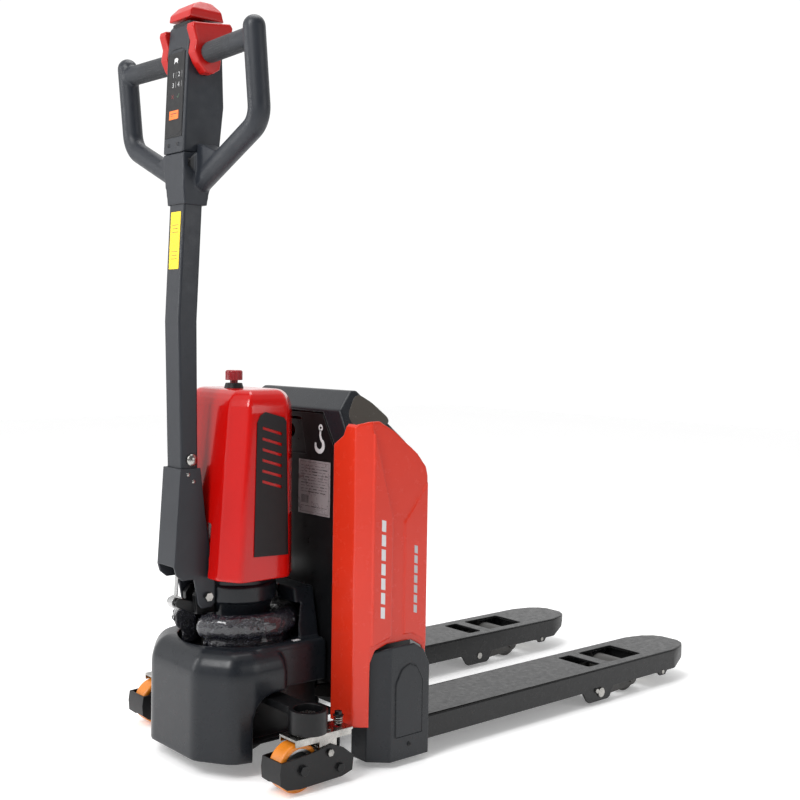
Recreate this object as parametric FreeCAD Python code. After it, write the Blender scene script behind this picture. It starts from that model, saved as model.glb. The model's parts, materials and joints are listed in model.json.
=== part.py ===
import FreeCAD, Part
import math
import os

# Electric pallet truck, millimetres.
# Working axes while building: +X towards the fork tips with X = 0 at the fork face,
# +Y to the left of the truck, +Z up with Z = 0 on the floor.
# On export every solid moves by -X_MID so the origin sits under the middle of the overall box.

X_MID = 250.0

# forks
FORK_X0, FORK_X1 = -100.0, 950.0
FORK_YC = 195.0
FORK_HALF = 75.0
FORK_Z0, FORK_Z1 = 36.0, 84.0
FORK_SKIN = 6.0
SLOT_X = (560.0, 604.0)
WINDOW_X = (636.0, 761.0)
OPENING_HALF = 47.0

# load roller arms
PIVOT_X, PIVOT_Z = 570.0, 29.0
ROLLER_X, ROLLER_Z, ROLLER_R = 708.0, 37.0, 37.0
LEVER_PIN_X, LEVER_PIN_Z = 554.0, 60.0
ENTRY_X, ENTRY_Z, ENTRY_R = 815.0, 35.0, 16.0

# rocker behind the fork heels
ROCKER_X, ROCKER_Z = -45.0, 100.0
ROD_REAR_X, ROD_Z = -60.9, 62.0

# drive unit and steering
STEER_X = -282.0
WHEEL_R, WHEEL_HALF = 105.0, 35.0
COVER_Z0, COVER_Z1 = 372.0, 747.0
COVER_HALF = 118.0
ESTOP_X = -293.0

# skirt round the drive unit
SKIRT_TOP = 244.0
SKIRT_STEP = -262.0
SKIRT_REAR_HALF = 141.0

# stabilising casters
CASTER_X, CASTER_Y = -286.0, 250.0
CASTER_AXLE_X, CASTER_AXLE_Z = -320.0, 47.0
CASTER_R, CASTER_HALF = 47.0, 19.0
ROCK_X, ROCK_Z = -257.0, 68.0
SPRING_X = -212.0

# tiller
TILLER_X, TILLER_Z = -373.0, 335.0
EYE_X, EYE_Z = -427.0, 325.0
ANCHOR_X, ANCHOR_Z = -410.0, 608.0
GRIP_X, GRIP_Z = -402.0, 1394.0
HEAD_HALF = 38.0

# lift cylinder
CYL_X = -100.0
CYL_R, RAM_R = 25.0, 14.0

# lid hinge
LID_X, LID_Z = -4.0, 606.0


def v(x, y, z):
    return FreeCAD.Vector(x, y, z)


def box(x0, x1, y0, y1, z0, z1):
    return Part.makeBox(x1 - x0, y1 - y0, z1 - z0, v(x0, y0, z0))


def cyl_x(x0, x1, y, z, r):
    return Part.makeCylinder(r, x1 - x0, v(x0, y, z), v(1, 0, 0))


def cyl_y(x, z, r, y0, y1):
    return Part.makeCylinder(r, y1 - y0, v(x, y0, z), v(0, 1, 0))


def cyl_z(x, y, r, z0, z1):
    return Part.makeCylinder(r, z1 - z0, v(x, y, z0), v(0, 0, 1))


def cone_z(x, y, r0, r1, z0, z1):
    return Part.makeCone(r0, r1, z1 - z0, v(x, y, z0), v(0, 0, 1))


def tube_z(x, y, r_in, r_out, z0, z1):
    return cyl_z(x, y, r_out, z0, z1).cut(cyl_z(x, y, r_in, z0 - 1, z1 + 1))


def prism_xz(points, y0, y1):
    """A flat outline in X and Z, thickened from y0 to y1."""
    loop = [v(x, y0, z) for x, z in points]
    return Part.Face(Part.makePolygon(loop + loop[:1])).extrude(v(0, y1 - y0, 0))


def prism_xy(points, z0, z1):
    loop = [v(x, y, z0) for x, y in points]
    return Part.Face(Part.makePolygon(loop + loop[:1])).extrude(v(0, 0, z1 - z0))


def prism_yz(points, x0, x1):
    loop = [v(x0, y, z) for y, z in points]
    return Part.Face(Part.makePolygon(loop + loop[:1])).extrude(v(x1 - x0, 0, 0))


def fuse(shapes):
    whole = shapes[0]
    if len(shapes) > 1:
        whole = whole.multiFuse(shapes[1:])
    return whole.removeSplitter()


def cut_all(shape, tools):
    for tool in tools:
        shape = shape.cut(tool)
    return shape


def mirror(shape):
    return shape.mirror(v(0, 0, 0), v(0, 1, 0))


def is_upright(edge, least):
    a = edge.Vertexes[0].Point
    b = edge.Vertexes[-1].Point
    flat = math.hypot(a.x - b.x, a.y - b.y)
    return flat < 0.01 and abs(a.z - b.z) > least


def round_upright(shape, radius, least):
    edges = [e for e in shape.Edges if is_upright(e, least)]
    return shape.makeFillet(radius, edges)


def round_at_z(shape, radius, level):
    edges = [e for e in shape.Edges
             if abs(e.BoundBox.ZMin - level) < 0.01 and abs(e.BoundBox.ZMax - level) < 0.01]
    return shape.makeFillet(radius, edges)


def bar_between(xa, za, xb, zb, half_a, half_b, y0, y1):
    """A flat link with rounded ends round two centres in X and Z."""
    dx, dz = xb - xa, zb - za
    length = math.hypot(dx, dz)
    nx, nz = -dz / length, dx / length
    web = prism_xz([(xa + nx * half_a, za + nz * half_a), (xb + nx * half_b, zb + nz * half_b),
                    (xb - nx * half_b, zb - nz * half_b), (xa - nx * half_a, za - nz * half_a)],
                   y0, y1)
    return fuse([web, cyl_y(xa, za, half_a, y0, y1), cyl_y(xb, zb, half_b, y0, y1)])


def inset_corners(corners, inset):
    """Corners of a convex outline, listed clockwise or not, after every side moves inwards."""
    count = len(corners)
    middle_x = sum(c[0] for c in corners) / count
    middle_y = sum(c[1] for c in corners) / count
    sides = []
    for i in range(count):
        (xa, ya), (xb, yb) = corners[i], corners[(i + 1) % count]
        length = math.hypot(xb - xa, yb - ya)
        nx, ny = (yb - ya) / length, -(xb - xa) / length
        if (middle_x - xa) * nx + (middle_y - ya) * ny < 0:
            nx, ny = -nx, -ny
        sides.append((nx, ny, nx * xa + ny * ya + inset))
    moved = []
    for i in range(count):
        (a, b, c), (d, e, f) = sides[i - 1], sides[i]
        whole = a * e - b * d
        moved.append(((c * e - b * f) / whole, (a * f - c * d) / whole))
    return moved


def rounded_loop(corners, radii, inset, steps=5):
    """The outline moved inwards, with an arc of short chords at every corner."""
    corners = inset_corners(corners, inset)
    count = len(corners)
    loop = []
    for i in range(count):
        here = v(corners[i][0], corners[i][1], 0)
        back = v(corners[i - 1][0], corners[i - 1][1], 0) - here
        ahead = v(corners[(i + 1) % count][0], corners[(i + 1) % count][1], 0) - here
        radius = max(radii[i] - inset, 3.0)
        half = back.getAngle(ahead) / 2.0
        run = radius / math.tan(half)
        inward = (back.normalize() + ahead.normalize()).normalize()
        centre = here + inward * (radius / math.sin(half))
        start = here + back * run - centre
        stop = here + ahead * run - centre
        sweep = start.getAngle(stop)
        turn = 1.0 if start.x * stop.y - start.y * stop.x > 0 else -1.0
        for k in range(steps + 1):
            a = turn * sweep * k / steps
            loop.append((centre.x + start.x * math.cos(a) - start.y * math.sin(a),
                         centre.y + start.x * math.sin(a) + start.y * math.cos(a)))
    return loop


def swept_tube(points, radius, bend):
    """A round bar along a path of points with rounded bends."""
    line = Part.makePolygon([v(*p) for p in points])
    edges = []
    corners = [v(*p) for p in points]
    start = corners[0]
    for i in range(1, len(corners) - 1):
        here = corners[i]
        back = (corners[i - 1] - here).normalize()
        ahead = (corners[i + 1] - here).normalize()
        half = back.getAngle(ahead) / 2.0
        run = bend / math.tan(half)
        entry = here + back * run
        leave = here + ahead * run
        inward = (back + ahead).normalize()
        middle = here + inward * (bend / math.sin(half) - bend)
        edges.append(Part.makeLine(start, entry))
        edges.append(Part.Arc(entry, middle, leave).toShape())
        start = leave
    edges.append(Part.makeLine(start, corners[-1]))
    spine = Part.Wire(edges)
    direction = (corners[1] - corners[0]).normalize()
    ring = Part.Wire(Part.makeCircle(radius, corners[0], direction))
    return spine.makePipeShell([ring], True, False)


def hex_z(x, y, across, z0, z1):
    r = across / math.sqrt(3.0)
    return prism_xy([(x + r * math.cos(a * math.pi / 3), y + r * math.sin(a * math.pi / 3))
                     for a in range(6)], z0, z1)


def hex_y(x, z, across, y0, y1):
    r = across / math.sqrt(3.0)
    return prism_xz([(x + r * math.cos(a * math.pi / 3), z + r * math.sin(a * math.pi / 3))
                     for a in range(6)], y0, y1)


def export(name, shape):
    placed = shape.copy()
    placed.translate(v(-X_MID, 0, 0))
    placed.exportStep("parts/" + name + ".step")


def export_pair(name, right_shape):
    """The right-hand piece is on -Y, its mirror image on +Y."""
    export(name + "_right", right_shape)
    export(name + "_left", mirror(right_shape))


# ---------------------------------------------------------------- forks

def fork_outline(inset):
    h = FORK_HALF - inset
    side = [(860.0 - inset * 0.3, h), (912.0 - inset, 62.0 - inset), (938.0 - inset, 44.0 - inset),
            (950.0 - inset, 24.0 - inset)]
    left = [(x, FORK_YC * -1 + y) for x, y in side]
    right = [(x, FORK_YC * -1 - y) for x, y in reversed(side)]
    start = FORK_X0 - (1.0 if inset else 0.0)
    return [(start, -FORK_YC + h)] + left + right + [(start, -FORK_YC - h)]


def make_fork():
    body = prism_xy(fork_outline(0.0), FORK_Z0, FORK_Z1)
    body = round_at_z(body, 4.0, FORK_Z1)
    body = body.cut(prism_xy(fork_outline(FORK_SKIN), FORK_Z0 - 1, FORK_Z1 - FORK_SKIN))
    ramp = [(868.0, FORK_Z0 - 1), (951.0, FORK_Z0 - 1), (951.0, 66.0), (944.0, 66.0)]
    body = body.cut(prism_xz(ramp, -FORK_YC - 80, -FORK_YC + 80))
    holes = []
    for x0, x1 in (SLOT_X, WINDOW_X):
        hole = box(x0, x1, -FORK_YC - OPENING_HALF, -FORK_YC + OPENING_HALF, 70, 90)
        holes.append(round_upright(hole, 6.0, 10.0))
    holes.append(box(-96, -6, -FORK_YC - 20, -FORK_YC + 20, 70, 90))
    holes.append(box(FORK_X0 - 1, 2, -FORK_YC - 80, -FORK_YC + 80, FORK_Z1 - 1, FORK_Z1 + 1))
    body = cut_all(body, holes)
    wall = FORK_HALF - FORK_SKIN
    lug = [(506, 37), (522, 14), (530, 9), (598, 9), (606, 14), (620, 37)]
    tip_lug = [(796, 37), (804, 27), (826, 27), (834, 37)]
    for y0, y1 in ((-FORK_YC - FORK_HALF, -FORK_YC - wall), (-FORK_YC + wall, -FORK_YC + FORK_HALF)):
        body = body.fuse(prism_xz(lug, y0, y1))
        body = body.fuse(prism_xz(tip_lug, y0, y1))
    body = body.cut(cyl_y(PIVOT_X, PIVOT_Z, 8.05, -FORK_YC - 90, -FORK_YC + 90))
    body = body.cut(cyl_y(ENTRY_X, ENTRY_Z, 5.05, -FORK_YC - 90, -FORK_YC + 90))
    rib = box(770, 776, -FORK_YC - wall, -FORK_YC + wall, 44, FORK_Z1 - FORK_SKIN)
    return fuse([body, rib])


def make_pivot_pin():
    y = FORK_HALF
    return fuse([cyl_y(PIVOT_X, PIVOT_Z, 8.0, -FORK_YC - y - 1.5, -FORK_YC + y + 1.5),
                 cyl_y(PIVOT_X, PIVOT_Z, 11.0, -FORK_YC - y - 3.5, -FORK_YC - y - 0.5).cut(
                     box(500, 600, -FORK_YC - y, -FORK_YC - y + 2, 0, 60)),
                 hex_y(PIVOT_X - 16, PIVOT_Z + 6, 10, -FORK_YC - y - 4.5, -FORK_YC - y)])


def make_entry_roller():
    roller = cyl_y(ENTRY_X, ENTRY_Z, ENTRY_R, -FORK_YC - 30, -FORK_YC + 30)
    return roller.cut(cyl_y(ENTRY_X, ENTRY_Z, 5.05, -FORK_YC - 40, -FORK_YC + 40))


def make_entry_pin():
    pin = cyl_y(ENTRY_X, ENTRY_Z, 5.0, -FORK_YC - 76, -FORK_YC + 76)
    collars = [cyl_y(ENTRY_X, ENTRY_Z, 8.0, -FORK_YC - 68, -FORK_YC - 30.4),
               cyl_y(ENTRY_X, ENTRY_Z, 8.0, -FORK_YC + 30.4, -FORK_YC + 68)]
    return fuse([pin] + collars)


def make_roller_arm():
    """Two cheek plates, a cross tube on the pivot pin and the levers the push rod works."""
    parts = []
    for side in (-1, 1):
        a, b = sorted((side * 55.0, side * 63.0))
        parts.append(bar_between(PIVOT_X, PIVOT_Z, ROLLER_X, ROLLER_Z, 18, 17,
                                 -FORK_YC + a, -FORK_YC + b))
        a, b = sorted((side * 11.0, side * 18.0))
        parts.append(bar_between(PIVOT_X, PIVOT_Z, LEVER_PIN_X, LEVER_PIN_Z, 16, 9,
                                 -FORK_YC + a, -FORK_YC + b))
        a, b = sorted((side * 43.5, side * 56.0))
        parts.append(cyl_y(ROLLER_X, ROLLER_Z, 15, -FORK_YC + a, -FORK_YC + b))
    parts.append(cyl_y(PIVOT_X, PIVOT_Z, 15, -FORK_YC - 60, -FORK_YC + 60))
    parts.append(box(592, 640, -FORK_YC - 56, -FORK_YC + 56, 26, 34))
    arm = fuse(parts)
    arm = arm.cut(cyl_y(PIVOT_X, PIVOT_Z, 8.05, -FORK_YC - 90, -FORK_YC + 90))
    arm = arm.cut(cyl_y(ROLLER_X, ROLLER_Z, 10.05, -FORK_YC - 90, -FORK_YC + 90))
    return arm.cut(box(530, 561, -FORK_YC - 10.4, -FORK_YC + 10.4, 40, 80))


def make_lever_pin():
    return cyl_y(LEVER_PIN_X, LEVER_PIN_Z, 5.0, -FORK_YC - 10.9, -FORK_YC + 10.9)


def make_roller_axle():
    return fuse([cyl_y(ROLLER_X, ROLLER_Z, 10.0, -FORK_YC - 65, -FORK_YC + 65),
                 cyl_y(ROLLER_X, ROLLER_Z, 13.0, -FORK_YC - 66, -FORK_YC - 63),
                 cyl_y(ROLLER_X, ROLLER_Z, 13.0, -FORK_YC + 63, -FORK_YC + 66)])


def make_load_roller():
    roller = cyl_y(ROLLER_X, ROLLER_Z, ROLLER_R, -FORK_YC - 43, -FORK_YC + 43)
    roller = roller.makeChamfer(2.5, [e for e in roller.Edges if e.Closed])
    groove = cyl_y(ROLLER_X, ROLLER_Z, 24, -FORK_YC - 44, -FORK_YC - 40)
    roller = roller.cut(groove).cut(cyl_y(ROLLER_X, ROLLER_Z, 24, -FORK_YC + 40, -FORK_YC + 44))
    core = cyl_y(ROLLER_X, ROLLER_Z, 18, -FORK_YC - 43, -FORK_YC + 43)
    return fuse([roller, core]).cut(cyl_y(ROLLER_X, ROLLER_Z, 10.05, -FORK_YC - 50, -FORK_YC + 50))


def make_push_rod():
    y0, y1 = -FORK_YC - 8, -FORK_YC + 8
    bar = box(ROD_REAR_X, LEVER_PIN_X, y0, y1, 54, 68)
    eyes = [box(ROD_REAR_X - 13, ROD_REAR_X + 14, y0, y1, 48, 76),
            box(LEVER_PIN_X - 14, LEVER_PIN_X + 12, y0, y1, 47, 74)]
    rod = fuse([bar] + eyes)
    slots = [box(ROD_REAR_X - 6, ROD_REAR_X + 6, y0 - 1, y1 + 1, 53.5, 71.5),
             box(LEVER_PIN_X - 6, LEVER_PIN_X + 6, y0 - 1, y1 + 1, 53, 69.5)]
    return cut_all(rod, slots)


def make_rocker():
    """Torsion shaft with a lower lever in each fork heel and two forward foot levers."""
    parts = [cyl_y(ROCKER_X, ROCKER_Z, 14.0, -222, 222)]
    for yc in (-FORK_YC, FORK_YC):
        for a, b in ((-16.0, -9.0), (9.0, 16.0)):
            parts.append(bar_between(ROCKER_X, ROCKER_Z, ROD_REAR_X, 65.5, 17, 8, yc + a, yc + b))
        parts.append(cyl_y(ROD_REAR_X, 65.5, 5.0, yc - 10, yc + 10))
    for yc in (-88.0, 88.0):
        parts.append(bar_between(ROCKER_X, ROCKER_Z, -136, 118, 17, 12, yc - 6, yc + 6))
    return fuse(parts)


# ---------------------------------------------------------------- lift carriage

def make_lift_frame():
    rear = box(-12, -4, -228, 228, 83, 600)
    low_rear = box(-12, -4, -119, 119, 40, 90)
    parts = [rear, low_rear]
    for side in (-1, 1):
        a, b = sorted((side * 220.0, side * 228.0))
        parts.append(box(-100, -4, a, b, 83, 560))
        a, b = sorted((side * 120.0, side * 228.0))
        parts.append(box(-100, -4, a, b, 83, 90))
        a, b = sorted((side * 56.0, side * 224.0))
        parts.append(box(-127.4, -118, a, b, 232, 272))
        parts.append(box(-127.4, -90, side * 220 if side > 0 else -228,
                         228 if side > 0 else -220, 232, 272))
        a, b = sorted((side * 150.0, side * 158.0))
        parts.append(box(-70, -10, a, b, 86, 124))
    parts.append(box(-128, -8, -224, 224, 340, 350))
    for y in (-205, 205):
        parts.append(box(-12, -4, y - 12, y + 12, 590, 602))
        parts.append(cyl_y(LID_X - 4, LID_Z, 5.5, y - 12, y + 12))
    parts.append(box(-146, -140, -54, 54, 596, 680))
    parts.append(box(-146, -8, -54, 54, 594, 600))
    frame = fuse(parts).cut(cyl_x(-150, -130, 0, 655, 15))
    holes = [cyl_y(ROCKER_X, ROCKER_Z, 14.05, -240, 240)]
    for side in (-1, 1):
        holes.append(box(-92, -12, side * FORK_YC - 20, side * FORK_YC + 20, 80, 95))
        holes.append(cyl_y(ROCKER_X, ROCKER_Z, 24, side * 212 - 4, side * 212 + 4))
    for y in (-110, 0, 110):
        holes.append(box(-20, 0, y - 35, y + 35, 400, 540))
    return cut_all(frame, holes)


def make_slide_block():
    block = box(-145.4, -127.4, -84.5, -55.5, 232, 272)
    return block.cut(box(-140.4, -127.0, -80.4, -59.6, 220, 280))


def panel_plan(depth):
    """Wall of the side panel seen from above, pushed inwards by depth."""
    t = depth
    return [(-t * 0 - 1, -270 + t), (-148 + t * 0.2, -266 + t), (-172 + t, -244 + t * 0.5),
            (-172 + t, -176)]


def make_side_panel():
    outer = panel_plan(0.0)
    inner = panel_plan(4.0)
    wall = prism_xy(outer + list(reversed(inner)), 60, 720)
    face = [(0, 572), (0, 208), (-14, 232), (-40, 247), (-104, 247), (-134, 238), (-146, 215),
            (-147, 88), (-175, 88), (-175, 672), (-168, 684), (-150, 690), (-130, 690),
            (-90, 668), (-30, 622), (-6, 594)]
    wall = wall.common(prism_xz(face, -300, -100))
    slant = prism_yz([(-170, 600), (-170, 720), (-232, 720), (-206, 660), (-176, 640)], -180, -160)
    wall = wall.cut(slant)
    raised = prism_xz([(-146, 672), (-96, 500), (-96, 262), (-120, 256), (-146, 248)], -272.5, -265)
    ridge = prism_xz([(-2, 560), (-62, 486), (-62, 262), (-40, 262), (-16, 250), (-2, 232)],
                     -272.0, -268)
    return fuse([wall, raised, ridge])


def make_corner_cover():
    outer = [(0, -282), (-104, -282), (-140, -250), (-140, -204)]
    inner = [(-135, -204), (-135, -248), (-102, -276.5), (0, -276.5)]
    wall = prism_xy(outer + inner, 13, 250)
    face = [(-145, 13), (0, 13), (0, 196), (-16, 227), (-42, 243), (-102, 243), (-130, 233),
            (-145, 208)]
    wall = wall.common(prism_xz(face, -300, -180))
    base = prism_xy([(0, -282), (-104, -282), (-140, -250), (-140, -204), (-106, -204),
                     (-106, -271), (0, -271)], 13, 22)
    emboss = prism_xz([(-92, 60), (-92, 168), (-76, 196), (-56, 204), (-36, 196), (-20, 168),
                       (-20, 60)], -283.5, -281)
    return fuse([wall, base, emboss])


def make_front_cover():
    face = [(-168, 150), (-168, 600), (-112, 696), (112, 696), (168, 600), (168, 150)]
    plate = prism_yz(face, -150, -146)
    returns = [box(-150, -130, -168, -164, 150, 598), box(-150, -130, 164, 168, 150, 598)]
    plate = fuse([plate] + returns)
    return plate.cut(prism_yz([(-58, 610), (-40, 686), (40, 686), (58, 610)], -160, -140))


def make_hood(inset):
    i = inset
    side = [(-152 + i, 690), (-152 + i, 706), (-108, 744 - i), (-92, 744 - i), (-2 - i, 640 - i),
            (-2 - i, 606), (-152 + i, 606)]
    front = [(-206 + i, 606), (-206 + i, 634), (-150, 744 - i), (150, 744 - i), (206 - i, 634),
             (206 - i, 606)]
    body = prism_xz(side, -230, 230).common(prism_yz(front, -200, 50))
    return body


def make_lid():
    """Hood over the column: sloping front, arched front edge and a shallow tray on top."""
    shell = make_hood(0.0)
    core = make_hood(5.0)
    core.translate(v(0, 0, -0.5))
    lid = shell.cut(core)
    lid = lid.cut(prism_yz([(-170, 600), (-170, 604), (-114, 699), (114, 699), (170, 604),
                            (170, 600)], -160, -144))
    tray = prism_xz([(-146, 714), (-110, 742), (-110, 750), (-146, 750)], -120, 120)
    lid = lid.cut(tray)
    floor = prism_xz([(-147, 706), (-108, 738), (-104, 738), (-104, 732), (-147, 700)], -124, 124)
    lid = fuse([lid, floor])
    return lid.cut(box(-20, 0, -219, -190, 600, 616)).cut(box(-20, 0, 190, 219, 600, 616))


def make_battery():
    pack = box(-92, -18, -150, 150, 351, 566)
    pack = round_upright(pack, 8.0, 50.0)
    handle = box(-66, -44, -60, 60, 566, 588).cut(box(-70, -40, -48, 48, 560, 582))
    pack = pack.cut(box(-70, -40, -48, 48, 564, 570))
    return fuse([pack, handle])


def make_controller():
    body = box(-86, -20, -140, -40, 180, 330)
    fins = [box(-92, -86, -136 + 12 * i, -132 + 12 * i, 184, 326) for i in range(8)]
    return fuse([body] + fins)


def make_data_plate():
    return box(-151, -150, -140, -36, 486, 598)


# ---------------------------------------------------------------- chassis

def base_plan(inset):
    i = inset
    return [(-424 + i, -74), (-386 + i, -130 + i), (-346 + i, -148 + i), (-154, -148 + i),
            (-154, 148 - i), (-346 + i, 148 - i), (-386 + i, 130 - i), (-424 + i, 74)]


def make_chassis():
    """Base and top plates, side walls, caster cups, lift guides and the cylinder's foot."""
    parts = [prism_xy(base_plan(0.0), 60, 68), prism_xy(base_plan(16.0), 214, 222)]
    for side in (-1, 1):
        a, b = sorted((side * 124.0, side * 132.0))
        parts.append(box(-344, -176, a, b, 60, 222))
        a, b = sorted((side * 124.0, side * 225.0))
        parts.append(box(-310, -266, a, b, 135, 150))
        parts.append(cyl_z(CASTER_X, side * CASTER_Y, 37.5, 106, 150))
        a, b = sorted((side * 60.0, side * 80.0))
        parts.append(box(-156, -128, a, b, 44, 68))
        parts.append(box(-140, -128, a, b, 44, 335))
    parts.append(box(-170, -68, -52, 52, 44, 60))
    parts.append(box(-170, -154, -90, 90, 44, 68))
    body = fuse(parts)
    tools = [cyl_z(STEER_X, 0, 116, 50, 70), cyl_z(STEER_X, 0, 70, 200, 240)]
    for side in (-1, 1):
        tools.append(cyl_z(CASTER_X, side * CASTER_Y, 16.05, 90, 200))
        tools.append(cyl_z(CASTER_X, side * CASTER_Y, 28.0, 132, 200))
    return cut_all(body, tools)


def make_bearing_outer():
    return tube_z(STEER_X, 0, 50.0, 69.95, 214, 236)


def loft_between(low, z0, high, z1):
    wires = [Part.makePolygon([v(x, y, z0) for x, y in low] + [v(low[0][0], low[0][1], z0)]),
             Part.makePolygon([v(x, y, z1) for x, y in high] + [v(high[0][0], high[0][1], z1)])]
    return Part.makeLoft(wires, True, True)


def shoulder_levels(top, height, depth, steps):
    """Heights and insets down a rounded shoulder that ends at the level top."""
    angles = [math.pi / 2 * k / steps for k in range(steps + 1)]
    return [(top - height + height * math.sin(a), depth * (1.0 - math.cos(a))) for a in angles]


def stack_levels(corners, radii, extra, low, levels):
    """A solid with upright walls up to the first level and a rounded shoulder above it."""
    rings = [(rounded_loop(corners, radii, extra + inset), z) for z, inset in levels]
    parts = [loft_between(rings[0][0], low, rings[0][0], rings[0][1])]
    for (under, z0), (over, z1) in zip(rings, rings[1:]):
        parts.append(loft_between(under, z0, over, z1))
    return fuse(parts)


def skirt_front(wall, low):
    """Broad front body of the skirt, or its hollow when wall is more than nothing."""
    half = [(-434, -80), (-388, -147), (-340, -160), (SKIRT_STEP, -160)]
    corners = half + [(x, -y) for x, y in reversed(half)]
    radii = [42, 42, 60, 14, 14, 60, 42, 42]
    levels = [(z - wall, inset) for z, inset in shoulder_levels(SKIRT_TOP, 54.0, 42.0, 6)]
    return stack_levels(corners, radii, wall, low, levels)


def skirt_rear(wall, low):
    """Narrower body that runs back under the column."""
    half = [(-330, -SKIRT_REAR_HALF), (-154 + 3 * wall, -SKIRT_REAR_HALF)]
    corners = half + [(x, -y) for x, y in reversed(half)]
    radii = [20, 4, 4, 20]
    levels = [(z - wall, inset) for z, inset in shoulder_levels(SKIRT_TOP, 12.0, 10.0, 3)]
    return stack_levels(corners, radii, wall, low, levels)


def make_skirt():
    """Moulded cover of the drive unit with arches for the caster arms."""
    outer = fuse([skirt_front(0.0, 30.0), skirt_rear(0.0, 158.0)])
    inner = fuse([skirt_front(4.0, 20.0), skirt_rear(4.0, 150.0)])
    shell = outer.cut(inner)
    tools = [cyl_z(STEER_X, 0, 117, 226, 260), box(-175, -150, -116, 116, 20, 236)]
    for side in (-1, 1):
        arch = [(-346, 20), (-346, 112), (-340, 134), (-326, 150), (-306, 157), (-290, 158),
                (-250, 158), (-250, 20)]
        a, b = sorted((side * 125.0, side * 170.0))
        tools.append(prism_xz(arch, a, b))
    tools.append(box(-268, -240, -126, 126, 20, 158))
    return cut_all(shell, tools)


def make_hump():
    """Raised housing behind the collar, moulded over the chassis."""
    block = prism_yz([(-118, 240), (-96, 342), (96, 342), (118, 240)], -206, -155)
    block = block.cut(cyl_z(STEER_X, 0, 86, 200, 400))
    inner = prism_yz([(-113, 230), (-91, 337), (91, 337), (113, 230)], -198, -150)
    return block.cut(inner).cut(cyl_z(STEER_X, 0, 134, 200, 312))


def make_hydraulic_tank():
    tank = box(-198, -158, 82, 122, 72, 206)
    return round_upright(tank, 8.0, 50.0)


def make_pump_motor():
    return fuse([cyl_z(-178, -102, 19, 92, 200), box(-198, -158, -122, -82, 72, 92)])


def make_cylinder():
    barrel = cyl_z(CYL_X, 0, CYL_R, 60, 226)
    barrel = fuse([barrel, cyl_z(CYL_X, 0, 31, 60, 70), cyl_z(CYL_X, 0, 28, 208, 226)])
    return barrel.cut(cyl_z(CYL_X, 0, RAM_R + 0.05, 76, 240))


def make_ram():
    return fuse([cyl_z(CYL_X, 0, RAM_R, 80, 332), cyl_z(CYL_X, 0, 22, 332, 340)])


# ---------------------------------------------------------------- drive unit

def make_drive_tyre():
    tyre = cyl_y(STEER_X, WHEEL_R, WHEEL_R, -WHEEL_HALF, WHEEL_HALF)
    tyre = tyre.makeChamfer(4.0, [e for e in tyre.Edges if e.Closed])
    return tyre.cut(cyl_y(STEER_X, WHEEL_R, 82, -50, 50))


def make_drive_hub():
    hub = cyl_y(STEER_X, WHEEL_R, 82, -WHEEL_HALF + 1, WHEEL_HALF - 1)
    dish = cyl_y(STEER_X, WHEEL_R, 66, -WHEEL_HALF, -10)
    hub = hub.cut(dish)
    hub = fuse([hub, cyl_y(STEER_X, WHEEL_R, 34, -28, 0)])
    bolts = []
    for i in range(5):
        a = i * 2 * math.pi / 5
        bolts.append(cyl_y(STEER_X + 50 * math.cos(a), WHEEL_R + 50 * math.sin(a), 8, -16, -9))
    hub = fuse([hub] + bolts)
    return hub.cut(cyl_y(STEER_X, WHEEL_R, 14.05, -60, 60))


def make_gearbox():
    leg = box(STEER_X - 40, STEER_X + 40, 40, 78, 60, 211)
    leg = fuse([leg, cyl_y(STEER_X, WHEEL_R, 52, 40, 78)])
    neck = cyl_z(STEER_X, 0, 49.95, 211, 262)
    bridge = box(STEER_X - 40, STEER_X + 40, -38, 78, 211, 213)
    axle = cyl_y(STEER_X, WHEEL_R, 14.0, -34, 44)
    return fuse([leg, bridge, neck, axle])


def make_steer_collar():
    lower = cone_z(STEER_X, 0, 62, 74, 262, 318)
    upper = cyl_z(STEER_X, 0, 82, 318, 354)
    upper = upper.makeChamfer(4.0, [e for e in upper.Edges if e.Closed])
    collar = fuse([lower, upper, cyl_z(STEER_X, 0, 76, 354, 372)])
    return collar.cut(box(-380, -345, -37, 37, 300, 380))


def make_motor():
    body = cyl_z(STEER_X, 0, 55, 372, 568)
    brake = cyl_z(STEER_X, 0, 42, 568, 620)
    ribs = [cyl_z(STEER_X, 0, 59, 400 + 40 * i, 408 + 40 * i) for i in range(4)]
    return fuse([body, brake] + ribs)


def cover_corners(lean):
    half = [(-378 + lean, -74), (-352 + lean, -COVER_HALF), (-236, -COVER_HALF), (-200, -80)]
    return half + [(x, -y) for x, y in reversed(half)]


def cover_ring(inset, lean):
    return rounded_loop(cover_corners(lean), [12, 14, 24, 20, 20, 24, 14, 12], inset, 4)


def cover_solid(wall, low):
    """Faceted hood whose front leans back a little, with a broad rounded shoulder."""
    rings = [(cover_ring(wall, 0.0), low), (cover_ring(wall + 3.0, 19.0), 700.0 - wall)]
    for z, inset in shoulder_levels(COVER_Z1, 47.0, 30.0, 5)[1:]:
        rings.append((cover_ring(wall + 3.0 + inset, 19.0 + inset * 0.1), z - wall))
    parts = [loft_between(a, za, b, zb) for (a, za), (b, zb) in zip(rings, rings[1:])]
    return fuse(parts)


def make_motor_cover():
    shell = cover_solid(0.0, COVER_Z0).cut(cover_solid(4.0, COVER_Z0 - 4.0))
    flange = prism_xy(cover_ring(2.0, 0.0), COVER_Z0, COVER_Z0 + 4).cut(
        cyl_z(STEER_X, 0, 76.3, COVER_Z0 - 5, COVER_Z0 + 10))
    recess = box(-400, -347, -38, 38, COVER_Z0 - 5, 480)
    recess_wall = box(-348, -344, -42, 42, COVER_Z0, 484).common(cover_solid(0.0, COVER_Z0))
    cover = fuse([shell, flange]).cut(recess)
    return fuse([cover, recess_wall.cut(cyl_z(STEER_X, 0, 62.5, 360, 500))])


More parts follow.
